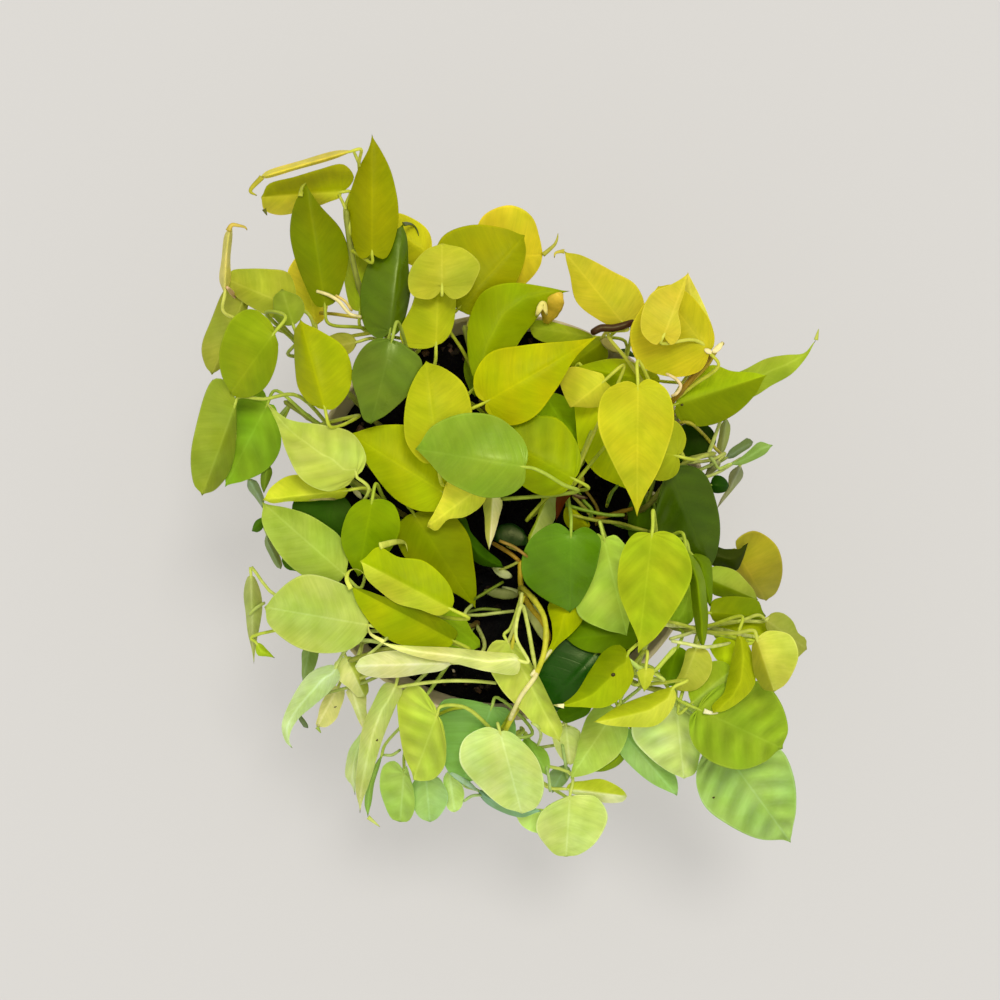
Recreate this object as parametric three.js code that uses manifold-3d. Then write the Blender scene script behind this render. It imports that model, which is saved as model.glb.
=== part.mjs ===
// Potted neon pothos: a tapered pot, its soil, and one node for each leafy stem.
// Millimetres, +Z up, origin at the centre of the pot's flat underside.
import * as THREE from "three";
import { mergeVertices } from "three/addons/utils/BufferGeometryUtils.js";
import Module from "manifold-3d";

// Pot and soil.
const POT_HEIGHT = 170;
const RIM_RADIUS = 102;
const BASE_RADIUS = 74;
const WALL = 2.6;
const FLOOR = 4;
const SOIL_DEPTH = 22; // from the rim down to the soil
const GROUND = POT_HEIGHT - SOIL_DEPTH;
const FIT = 0.3; // clearance between touching nodes
const ROUND = 44; // sides of the round parts

// Leaves and stems.
const BLADE = 0.8; // blade thickness
const PETIOLE = 0.95; // leaf stalk radius
const STEM = 1.5; // vine radius
const ROOTED = 16; // how deep a vine stands in the soil
const LEAF_GAP = 0.5; // least clearance between one blade and the next
const DROOP = 1.3; // power of the fall along and across a blade
const TRIM = 0.08; // details smaller than this are dropped where solids join
const RIM_CLEAR = 9; // stalks of leaves lower than this are led over the rim
const OVER_RIM = [[RIM_RADIUS + 5, 7], [RIM_RADIUS - 8, 11]]; // by way of these radii, heights
const REACH = 34; // length that a leaf stalk has where nothing asks for another

// The leaves are listed as they are seen from straight above, from this height over the rim,
// on the plane of the rim; each point is slid along its sight line to its own height.
const EYE_HEIGHT = 1200;
const EYE_X = -2;
const EYE_Y = 8.5;

const RIB = [0, 0.3, 0.65, 1]; // where a blade's midrib has points (1 = tip)
const SLIP_RIB = [0, 0.45, 1];
const OFF_MIDRIB = 0.6; // an edge nearer than this to the line from joint to tip bends the midrib

// Each vine: where it stands in the soil, the points it passes (x, y, height over the rim), and
// its leaves. A leaf: name; height of its joint with the stalk; rise from there to the tip; lift
// of the left edge and of the right; joint and tip; the left edge and the right edge from the
// base to the tip; options. The joint, tip and edges are x y pairs read off the view from above.
const VINES = [
  {
    name: "vine_top_left", colour: 0xa5b428, soil: [-36, 50],
    stem: [[-50, 78, 10], [-69, 106, 18], [-77, 136, 26], [-79, 154, 32]],
    leaves: [
      ["l6b", 22, -2, -4, -4, "-73.5 87.5, -100 82",
        "-75 84, -80 80, -86 77, -92 76, -97 78",
        "-76 91, -82 92, -88 90, -94 88, -98 85", {}],
      ["a4", 10, -4, -8, -8, "-94 96, -101 136",
        "-97 99, -102 108, -108 117, -108 123, -104 130",
        "-90 99, -88 108, -90 117, -94 125, -98 132", {}],
      ["b1g", 16, 0, -9, -8, "-72 103, -74 146.5",
        "-76 104, -79 113, -80 123, -78 134, -76 141",
        "-68 105, -64 115, -63 126, -66 134, -71 141", {}],
      ["b1", 34, 4, -8, -6, "-66 132, -66 191.5",
        "-71 129, -77 142, -78 156, -74 171, -68 183",
        "-60 129, -54 141, -53 155, -56 171, -62 184", { reach: 14 }],
      ["a2", 30, -12, -13, -9, "-81 162.5, -121.5 160",
        "-82 160, -87 158, -98 154, -112 151, -120 154",
        "-75 170, -80 176, -92 174, -105 170, -118 166", { via: [[-79.5, 154, 27]] }],
      ["a3", 32, 2, -7, -9, "-89.5 105.5, -99 167",
        "-93 105, -100 117, -105 132, -107 144, -104 158",
        "-85 107, -80 118, -78 131, -82 144, -93 157", {}],
      ["a1", 52, -8, -13, -12, "-76 183, -122.5 169.5",
        "-84 179.5, -103 174, -119 169.5",
        "-84 183, -100 178.5, -119 172.5", { via: [[-72.5, 177, 36], [-72, 166, 22]] }],
    ],
  },
  {
    name: "vine_left_top", colour: 0xa0b432, soil: [-52, 34],
    stem: [[-72, 56, 8], [-96, 80, 12], [-112, 96, 8]],
    leaves: [
      ["a7", 14, -18, -6, -12, "-130.5 108, -146 71",
        "-127 111, -128 105, -130 95, -136 82, -142 74",
        "-134 116, -139 114, -147 97, -151 84, -149 75", {}],
      ["a6", 18, -14, -6, -6, "-106 105, -139 119",
        "-108 98, -116 100, -124 104, -132 109, -137 114",
        "-104 112, -108 122, -118 124, -129 124, -136 123", {}],
      ["l5", 22, -8, -5, -5, "-105.5 96, -111 114",
        "-110 96, -114 99, -115 105, -115 110, -112 113",
        "-103 98, -100 102, -100 106, -102 110, -106 112", {}],
      ["a5", 22, 2, -11, -11, "-139.5 112, -136 147",
        "-142 118, -141 129, -139.5 141",
        "-137 118, -137 129, -136 141", {}],
      ["l2", 32, -22, -6, -8, "-115 92, -137 61.5",
        "-113 85, -115 73, -120 64, -127 60, -133 60",
        "-117 98, -126 104, -136 99, -142 84, -141 71", { bow: 5 }],
    ],
  },
  {
    name: "vine_left", colour: 0x96b428, soil: [-56, 14],
    stem: [[-76, 34, 6], [-98, 50, 10], [-110, 58, 8]],
    leaves: [
      ["l4b", 0, -6, -3, -3, "-118 27, -120 12",
        "-116 23, -117 19, -119 14.5",
        "-121 22.5, -121.5 18.5, -121 14.5", {}],
      ["l4c", -4, -8, -4, -4, "-128 19, -120.5 4",
        "-124 18, -121.5 13, -120 8.5",
        "-128 14.5, -124.5 10, -122 6.5", {}],
      ["l4", 8, -20, -6, -8, "-118.5 56, -139.5 15",
        "-115 56, -112 46, -112 34, -118 24, -130 18",
        "-121 64, -130 64, -137 54, -139 38, -140 24", {}],
      ["l3", 16, -18, -14, -10, "-134.5 56, -151 10.5",
        "-134 52, -134 44, -135 31, -139 20, -145 13",
        "-139 68, -145 69, -152 52, -156 33, -155 16", { via: [[-120, 59, 19], [-104, 61, 16]] }],
      ["l6", 30, -6, -13, -5, "-89.5 54, -102 99",
        "-96 56, -102 64, -104 74, -105 84, -105 93",
        "-85 54, -78 62, -76 73, -80 85, -92 93", {}],
    ],
  },
  {
    name: "vine_left_low", colour: 0xb4c846, soil: [-46, -2],
    stem: [[-58, 6, 4], [-70, 14, 14], [-77, 19, 20]],
    leaves: [
      ["l16", 13, -3, -2, -2, "-86 12, -90 -25",
        "-80 10, -76 4, -78 -6, -82 -14, -87 -21",
        "-95 12, -105 8, -105 -2, -100 -12, -95 -20", {}],
      ["l17a", -12, -4, -2, -2, "-119.5 0, -126 -7",
        "-120 -4, -121.5 -6.5, -123.5 -7.5",
        "-121.5 -0.5, -124 -2, -125.5 -5", {}],
      ["l17b", -16, -6, -4, -4, "-118.5 -8, -111.5 -26",
        "-116 -13, -112.5 -19, -111 -24",
        "-119.5 -13, -117 -19, -113.5 -25", {}],
      ["l17c", -8, -4, -2, -2, "-109 -18, -104 -27",
        "-106 -20, -103 -23, -102.5 -25.5",
        "-111 -21, -109.5 -25, -107 -26.5", {}],
      ["l9", 20, -16, -8, -4, "-79.5 -29, -121 7.5",
        "-83 -33, -92 -33, -105 -26, -116 -13, -121 -2",
        "-78 -22, -82 -10, -89 -4, -98 1, -110 5", {}],
      ["l10", 26, -16, -5, -6, "-66 8, -73 -30",
        "-61 9, -55 6, -52 -4, -56 -15, -66 -26",
        "-70 9, -77 4, -81 -6, -81 -13, -76 -25", {}],
      ["l8", 26, -14, -13, -8, "-78 13.5, -120.5 8.5",
        "-80 10, -88 9, -98 8, -108 8, -116 7",
        "-82 16, -92 18, -101 21, -109 20, -117 14", {}],
      ["l7", 42, -12, -5, -3, "-74.5 20.5, -119 57.5",
        "-78 16, -88 13, -101 19, -109 33, -113 46",
        "-71 23, -69 30, -76 42, -91 46, -108 49", { bow: 5 }],
    ],
  },
  {
    name: "vine_front_left", colour: 0xb4c83c, soil: [-34, -30],
    stem: [[-42, -40, 6], [-54, -52, 16], [-62, -58, 24]],
    leaves: [
      ["l14", -8, -4, -2, -2, "-123.5 -63, -114.5 -70.5",
        "-121.5 -63.5, -119 -66, -116.5 -68.5",
        "-124 -66, -123 -69, -119 -69.5", {}],
      ["l11", 2, -26, -7, -9, "-126.5 -29, -125 -73.5",
        "-125 -30, -122 -37, -121 -45, -122 -53, -124 -63",
        "-128 -30, -130 -38, -129 -48, -128 -57, -126 -66", { via: [[-116, -38, 6], [-97, -47, 8]] }],
      ["l12", 32, -14, -5, -4, "-68 -54, -120 -45",
        "-69 -59, -77 -66, -92 -68, -107 -63, -118 -53",
        "-68 -49, -72 -40, -84 -32, -100 -29, -115 -39", { bow: 6 }],
      ["u1", 24, -6, -2, -2, "-38 -44, -12 -65",
        "-32 -42, -26 -45, -20 -50, -16 -57, -12 -62",
        "-38 -50, -36 -58, -32 -64, -26 -68, -18 -68", {}],
      ["l13", 34, 0, -7, 2, "-25 -62, -77 -34.5",
        "-28 -65, -42 -65, -54 -63, -64 -56, -74 -42",
        "-23 -58, -28 -53, -38 -48, -52 -43, -68 -37", {}],
      ["c2", 46, -2, -9, -2, "-26.5 -46, -72 -22",
        "-32 -49, -42 -46, -54 -43, -62 -37, -69 -30",
        "-25 -42, -28 -33, -40 -22, -53 -20, -63 -15", {}],
    ],
  },
  {
    name: "vine_top_mid", colour: 0x78911e, soil: [-30, 30],
    stem: [[-38, 56, 6], [-46, 78, 14], [-48, 92, 18]],
    leaves: [
      ["b2", 12, -4, -6, -5, "-38 128, -67.5 136",
        "-40 125, -46 126, -53 130, -60 133, -65 135",
        "-36 134, -38 143, -45 149, -55 152, -63 147", {}],
      ["f1", 32, -8, -4, -5, "-56 88.5, -66.5 46.5",
        "-50 86, -41 78, -43 68, -50 59, -59 51",
        "-64 89, -72 83, -76 71, -73 58, -70 49", { bow: 3 }],
      ["c1", 31, -6, -4, -10, "-57 93, -50.5 146.5",
        "-62 89, -69 94, -72 107, -69 124, -60 140",
        "-55 91, -50 98, -47 112, -48 128, -49 140", {}],
      ["b3a", 30, -6, -5, -6, "-34 86, -32 134",
        "-41 84, -50 86, -52 93, -46 106, -42 120",
        "-30 88, -26 94, -24 105, -25 116, -28 127", {}],
      ["b3b", 40, -6, -4, -4, "-31 115, -31 137",
        "-37 109, -46 111, -48 119, -45 127, -38 134",
        "-25 109, -18 112, -14 119, -12 126, -20 134", { via: [[-31, 122, 35], [-31, 130, 20]] }],
    ],
  },
  {
    name: "vine_top", colour: 0xaab41e, soil: [-8, 44],
    stem: [[-12, 62, 4], [-16, 80, 10], [-20, 96, 12]],
    leaves: [
      ["b5", 8, -6, -5, -5, "-9 130, 19.5 131",
        "-14 142, -10 151, 3 156, 14 150, 18 139",
        "-7 120, 0 114, 8 115, 14 120, 18 126", {}],
      ["b4", 18, -6, -5, -5, "-23 104, 10.5 141",
        "-29 110, -35 125, -31 140, -17 146, 1 144",
        "-17 101, -4 104, 4 114, 8 122, 11 133", {}],
      ["d1b", 10, -8, -4, -4, "-9 90, -14 60",
        "-5 85, -3 78, -5 71, -9 65, -13 62",
        "-15 88, -19 80, -20 72, -18 66, -16 62", {}],
      ["d1", 26, -4, -4, -8, "-13 66, 33 113",
        "-17 75, -18 95, -11 112, 2 117, 21 115",
        "-6 68, 3 80, 8 88, 15 98, 23 108", {}],
    ],
  },
  {
    name: "vine_top_right", colour: 0xc8c832, soil: [72, 40],
    stem: [[76, 46, 6], [81, 54, 28], [86, 60, 40], [96, 72, 44], [104, 82, 46]],
    leaves: [
      ["d2", 38, -6, -6, -5, "59.5 97, 30 133",
        "56 95, 47 99, 36 108, 33 121, 31 129",
        "64 97, 70 104, 66 116, 54 123, 38 131", { via: [[52, 92, 34], [62, 78, 31]] }],
      ["p1", 42, -4, -4, -4, "96 88, 92 122.5",
        "93 90, 92 97, 90 104, 88 111, 90 118",
        "100 88, 104 93, 102 101, 98 110, 94 118", {}],
      ["e1", 52, -8, -5, -4, "102.5 82.5, 77 115.5",
        "98 73, 84 70, 68 76, 63 92, 69 105",
        "105 87, 104 96, 99 104, 92 112, 84 116", {}],
      ["e1f", 62, -8, -2, -2, "80 91, 92 122",
        "76 86, 69 92, 69 102, 74 112, 83 116",
        "84 86, 88 91, 88 97, 87 102, 90 112", { via: [[95, 88.5, 54], [101, 84, 50]] }],
      ["e3", 22, -4, -5, -5, "110 64, 156 88.5",
        "113 70, 121 74, 131 79, 141 81, 150 82",
        "114 59, 124 60, 134 66, 144 72, 152 81", {}],
      ["e2", 36, -10, -7, -6, "86 56.5, 131.5 71",
        "88 61, 95 70, 104 76, 114 73, 125 72",
        "86 51, 92 46, 104 46, 116 52, 126 62", {}],
    ],
  },
  {
    name: "vine_mid_left", colour: 0xafb928, soil: [-18, 4],
    stem: [[-22, 8, 8], [-26, 12, 20]],
    leaves: [
      ["f4", 50, -6, -4, -4, "-33 28, -39 78",
        "-40 27, -48 36, -50 47, -48 62, -42 74",
        "-25 29, -17 40, -16 53, -20 66, -31 75", {}],
      ["f6", 32, -4, -6, -5, "-30 12, -77.5 42",
        "-31 4, -41 3, -54 9, -65 21, -73 34",
        "-25 18, -33 35, -45 45, -58 46, -69 44", {}],
      ["o1", 18, -16, -4, -6, "-45 1.5, -14 -46",
        "-38 4, -27 2, -18 -9, -15 -24, -14 -38",
        "-48 1, -54 -6, -51 -18, -38 -30, -21 -40", {}],
      ["o2", 6, -8, -2, -6, "-22 2, 0 -25.5",
        "-19 -1, -17 -7, -12 -13, -7 -18, -2 -22",
        "-24 -3, -22 -12, -16 -21, -11 -24, -5 -25", {}],
      ["y1", 34, -16, -8, -4, "-13 14, -38.5 -5",
        "-9 11, -12 5, -20 0, -28 -1, -34 -7",
        "-17 19, -28 18, -31 10, -35 2, -38 -3", {}],
      ["w1", 26, -10, -5, -3, "-5.5 12, -7.5 -17",
        "-1 8, -2.5 0, -5 -9",
        "-10 8, -9.5 -1, -9 -10", {}],
      ["f5", 60, -8, -6, -7, "10.5 25, -44.5 34",
        "10 17, 3 11, -10 10, -27 17, -38 28",
        "12 31, 8 41, -4 50, -20 52, -36 45", { bow: 5, via: [[20, 22, 58], [30, 16, 54], [37, 13, 45]] }],
    ],
  },
  {
    name: "vine_mid_right", colour: 0xa5b428, soil: [22, 8],
    stem: [[27, 10, 8], [33, 13, 22]],
    leaves: [
      ["h1", 14, -14, -5, -6, "23.5 14, 11.5 -15",
        "27 11, 26 4, 25 -2, 20 -7, 16 -12",
        "20 12, 18 5, 16 -2, 13 -8, 11 -13", {}],
      ["d3", 6, -1, -1, -1, "45 90, 12 95",
        "42 88, 37 88, 30 87, 22 87, 15 90",
        "42 92, 37 94, 30 96, 22 98, 15 98", {}],
      ["d8", 9, -3, -4, -4, "50 88, 32.5 75.5",
        "51 85, 52 80, 47 77, 42 75, 37 74",
        "48 90, 43 88, 39 84, 36 80, 34 78", {}],
      ["dback", 6, -8, -4, -4, "20 62, 38.5 31",
        "26 62, 33 58, 38 50, 40 42, 40 36",
        "16 57, 17 50, 22 44, 28 38, 34 33", {}],
      ["d6", 20, -12, -6, -6, "43 64, 65 11.5",
        "50 64, 60 58, 66 45, 68 30, 67 18",
        "36 58, 36 47, 38 33, 46 22, 57 16", {}],
      ["d7", 24, -4, -9, -5, "78 68, 34.5 75",
        "76 64, 68 62, 58 63, 48 67, 40 72",
        "77 71, 70 74, 63 78, 54 79, 43 77", {}],
      ["d5", 34, -4, -10, -3, "50 68, 33 54.5",
        "54 64, 51 57, 44 55, 40 55, 36 55",
        "50 71, 44 73, 33 75, 28 70, 30 61", {}],
      ["d4", 48, -8, -4, -4, "-9 57.5, 47 90.5",
        "-14 61, -15 70, -7 82, 10 86, 34 88",
        "-9 53, 2 46, 15 50, 26 64, 36 80", { bow: 5 }],
      ["h3", 26, -6, -4, -4, "32 6.5, 42.5 -5.5",
        "35 5, 37 2, 40 0, 42 -2, 43 -4",
        "30 3, 30 -1, 32 -5, 36 -7, 40 -7", {}],
      ["sheath_a", 34, -12, -1, -1, "31 13.5, 26 -2.5",
        "34.5 12.5, 31 8, 28 2",
        "27 12, 26 7, 26 1.5", {}],
      ["h2", 42, -22, -5, -5, "33.5 -8.5, 33 -48",
        "41 -5, 48 -11, 47 -20, 44 -32, 38 -43",
        "26 -3, 15 -9, 9 -20, 10 -31, 21 -41", { bow: 4 }],
      ["g2", 44, -4, -8, -6, "35 19, -10 44",
        "31 13, 20 11, 9 16, -3 27, -9 38",
        "38 24, 37 36, 27 49, 12 50, -2 48", {}],
    ],
  },
  {
    name: "vine_right", colour: 0x9baa1e, soil: [62, 0],
    stem: [[72, 6, 8], [82, 18, 20], [92, 28, 28], [106, 32, 20]],
    leaves: [
      ["e6", 9, -3, -2, -2, "100 47, 89.5 26.5",
        "104 44, 106 38, 103 33, 98 30, 94 27",
        "95 46, 89 46, 86 41, 86 34, 87 29", {}],
      ["e9", 2, -8, -4, -4, "68 12, 66.5 -14",
        "72 10, 75 5, 75 -2, 73 -8, 70 -12",
        "64 9, 62 3, 62 -3, 62 -8, 64 -12", {}],
      ["e7d", -4, -8, -2, -2, "111 49.5, 108.5 30",
        "113 46, 112.5 40, 110.5 34",
        "108.5 46, 107.5 40, 106.5 35", {}],
      ["e7c", -12, -10, -4, -4, "118 26, 106 3.5",
        "119.5 21, 115 14.5, 110 8.5",
        "113 22, 112 15, 108.5 9", {}],
      ["e7e", 9, -3, -3, -3, "103 16, 112.5 15.5",
        "105 20.5, 108.5 20.5, 111.5 18",
        "104.5 12.5, 107.5 12, 111 13", {}],
      ["e7f", 4, -4, -3, -3, "108 29, 100.5 21",
        "108 26, 106 23.5, 103 21.5",
        "105 31, 103 27, 101.5 23.5", {}],
      ["e7a", -6, -4, -2, -2, "111 29.5, 124.5 37.5",
        "113 33.5, 118 37, 122 39.5",
        "114 29.5, 119 32.5, 123.5 35.5", {}],
      ["e7b", 8, 2, -3, -3, "113 26.5, 134.5 36",
        "117 28.5, 122 32.5, 128 37.5",
        "117.5 26, 124.5 28.5, 131 32", {}],
      ["e8", 22, -20, -5, -6, "82 24, 103 -27",
        "91 26, 100 22, 106 7, 108 -8, 106 -20",
        "80 16, 76 5, 76 -5, 80 -15, 92 -23", {}],
      ["e5", 50, -4, -5, -5, "86.5 30.5, 60 36",
        "88 26, 86 21, 80 18, 72 20, 64 28",
        "90 34, 91 40, 86 48, 76 50, 66 44", {}],
      ["e4", 64, -16, -2, -2, "67 65.5, 66.5 0",
        "72 69, 81 64, 85 49, 79 27, 70 10",
        "61 68, 50 62, 47 46, 56 24, 64 8", {}],
    ],
  },
  {
    name: "vine_right_low", colour: 0xa0b432, soil: [50, -22],
    stem: [[62, -20, 16], [74, -14, 34], [86, -18, 36]],
    leaves: [
      ["m1", 6, -4, -2, -5, "103 -20, 122 -13",
        "106 -15, 110 -16, 114 -16, 118 -16, 120 -14",
        "104 -24, 110 -25, 116 -27, 119 -22, 121 -16", {}],
      ["m2", 4, -34, -5, -5, "118 -20, 131 -42",
        "116 -12, 125 -7, 136 -14, 139 -27, 136 -38",
        "116 -26, 118 -30, 122 -34, 124 -38, 128 -41", {}],
      ["m3", 14, -12, -5, -4, "103 -31, 127 -41.5",
        "104 -25, 110 -25, 116 -27, 121 -32, 125 -37",
        "104 -38, 109 -40, 115 -42, 120 -42, 124 -42", {}],
      ["k3", 30, -10, -4, -4, "93 -30, 81 -54.5",
        "94 -34, 95 -40, 95 -47, 94 -52, 88 -55",
        "91 -33, 89 -38, 86 -43, 83 -48, 80 -52", {}],
      ["k2a", 28, -4, -5, -5, "93 -18.5, 103 -45",
        "99 -19, 103 -22, 104 -29, 104 -36, 104 -41",
        "94 -24, 96 -30, 98 -36, 100 -40, 102 -43", {}],
      ["k2b", 42, -20, -7, -12, "91 -17, 99.5 -66.5",
        "96 -22, 100 -31, 101 -40, 102 -50, 101 -60",
        "91 -24, 93 -32, 94 -41, 95 -50, 97 -60", {}],
      ["i1", 34, -14, -6, -6, "50 -11, 61.5 -59.5",
        "55 -9, 62 -16, 67 -30, 65 -43, 62 -54",
        "46 -8, 41 -20, 37 -34, 37 -49, 50 -56", {}],
      ["i3", 58, -16, -4, -5, "74 -8.5, 67 -68.5",
        "80 -7, 88 -11, 94 -27, 88 -43, 76 -60",
        "66 -8, 59 -18, 57 -33, 62 -50, 67 -62", { via: [[74.5, 3, 56]] }],
    ],
  },
  {
    name: "vine_far_right", colour: 0xb4b928, soil: [62, -42],
    stem: [[78, -52, 12], [92, -57, 20], [102, -57, 22]],
    leaves: [
      ["m4", 20, -12, -4, -4, "103 -48, 131 -49.5",
        "104 -42, 110 -40, 119 -40, 127 -42, 129 -47",
        "105 -52, 111 -53, 118 -53, 124 -52, 129 -51", {}],
      ["m6", 16, -4, -3, -3, "104 -57, 147 -61",
        "106 -54, 115 -52, 126 -51, 136 -53, 143 -57",
        "106 -61, 115 -63, 126 -62, 136 -61, 143 -62", {}],
      ["m5", 22, -18, -4, -5, "131 -51.5, 151.5 -66",
        "134 -48, 139 -48, 144 -52, 147 -58, 151 -61",
        "131 -55, 135 -60, 140 -66, 145 -71, 148 -69", { via: [[118, -52, 26]] }],
      ["m9", 26, -4, -4, -4, "117 -64, 103 -66",
        "116 -70, 114 -75, 110 -74, 106 -71, 104 -68",
        "115 -62, 112 -61, 108 -60, 105 -62, 104 -64", {}],
      ["n2", 22, -8, -4, -4, "87 -65, 81 -85",
        "90 -66, 92 -69, 91 -74, 88 -80, 85 -84",
        "84 -68, 80 -72, 78 -76, 78 -80, 80 -84", {}],
      ["m10", 26, -4, -4, -4, "94 -93, 114 -76",
        "92 -86, 96 -80, 101 -74, 106 -72, 111 -73",
        "98 -97, 104 -97, 110 -92, 113 -85, 114 -79", {}],
      ["n1", 36, -8, -3, -3, "96 -66, 88 -87",
        "101 -66, 104 -72, 103 -79, 98 -85, 93 -87",
        "92 -66, 90 -72, 88 -78, 86 -82, 86 -86", {}],
      ["m8", 42, -8, -4, -10, "117 -58, 104.5 -98",
        "121 -62, 125 -72, 125 -84, 118 -92, 110 -97",
        "116 -62, 114 -71, 112 -80, 110 -88, 104 -95", {}],
      ["m7", 42, -10, -3, -7, "126.5 -61, 135 -87.5",
        "132 -57, 143 -59, 147 -68, 144 -78, 140 -84",
        "124 -64, 124 -71, 125 -78, 127 -82, 130 -86", { via: [[116, -58, 36]] }],
    ],
  },
  {
    name: "vine_front_right", colour: 0xaabe46, soil: [36, -58],
    stem: [[50, -74, 8], [68, -84, 18], [84, -88, 24]],
    leaves: [
      ["x3", 6, -2, -1, -1, "46 -68, 20 -96",
        "50 -72, 48 -82, 42 -90, 34 -95, 27 -97",
        "38 -62, 28 -62, 18 -70, 14 -80, 15 -90", {}],
      ["x4", 9, -1, -1, -1, "44 -94.5, 28 -101.5",
        "42 -98.5, 36 -101.5, 31 -103",
        "38 -94, 31 -95, 26.5 -97", {}],
      ["y8", -2, -22, -6, -6, "58 -106, 86.5 -139.5",
        "63 -106, 71 -113, 80 -122, 86 -130, 87 -136",
        "56 -111, 58 -118, 65 -126, 74 -133, 82 -137", {}],
      ["y5b", -10, -6, -3, -3, "62 -113, 44 -127.5",
        "61 -119, 57 -124, 50 -127",
        "57 -117, 52 -121.5, 48 -124.5", {}],
      ["n6", 4, -26, -5, -5, "108 -114, 143.5 -163",
        "119 -110, 138 -116, 145 -130, 146 -145, 144 -157",
        "100 -118, 96 -130, 100 -144, 112 -154, 129 -161", {}],
      ["y5", 6, -22, -6, -8, "56 -96, 33 -131",
        "61 -99, 62 -108, 57 -119, 48 -126, 40 -129",
        "49 -93, 42 -99, 38 -110, 36 -120, 34 -126", {}],
      ["n5", 14, -20, -8, -4, "86 -93, 90 -131",
        "91 -92, 97 -98, 100 -108, 98 -119, 95 -128",
        "78 -95, 66 -99, 64 -109, 74 -121, 84 -128", {}],
      ["x2", 14, -4, -4, -4, "67 -58, 31 -61",
        "65 -64, 58 -67, 49 -68, 41 -67, 35 -64",
        "64 -52, 57 -50, 48 -49, 40 -50, 34 -56", {}],
      ["x1", 20, -8, -4, -6, "36 -43, 13 -80",
        "40 -46, 39 -52, 34 -58, 27 -64, 20 -73",
        "29 -39, 22 -44, 24 -54, 24 -62, 18 -72", {}],
      ["n3", 30, -20, -6, -5, "97 -96, 139.5 -116",
        "100 -90, 113 -82, 129 -83, 139 -94, 142 -107",
        "93 -100, 94 -112, 103 -122, 117 -126, 131 -122", { bow: 4 }],
      ["k1a", 36, 4, -1, -1, "73 -77, 61.5 -69.5",
        "71 -79, 67 -76.5, 64 -73.5",
        "72 -75.5, 68 -74.5, 64 -71.5", {}],
      ["k1b", 38, 4, -1, -1, "73 -78, 86.5 -64.5",
        "76 -75, 80 -70.5, 84.5 -65.5",
        "76.5 -77, 81 -72, 86 -66.5", {}],
      ["k1c", 40, -2, -1, -1, "71 -75.5, 70 -87.5",
        "75 -76.5, 74.5 -80, 72.5 -84.5",
        "66.5 -77, 67.5 -80.5, 69 -84.5", {}],
      ["j1", 40, -8, -4, -9, "61.5 -68, 26 -94.5",
        "63 -72, 65 -79, 60 -89, 50 -95, 38 -95",
        "58 -64, 50 -67, 43 -77, 36 -88, 30 -93", {}],
      ["n4", 46, -8, -3, -11, "84.5 -85, 44.5 -102.5",
        "86 -89, 84 -96, 76 -104, 65 -105, 52 -104",
        "80 -86, 74 -88, 66 -91, 57 -95, 49 -100", { bow: 3 }],
    ],
  },
  {
    name: "vine_front", colour: 0xb4cd5a, soil: [8, -40],
    stem: [[10, -36, 16], [20, -50, 30], [20, -68, 34], [12, -86, 28], [2, -104, 14], [-6, -122, -8]],
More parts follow.
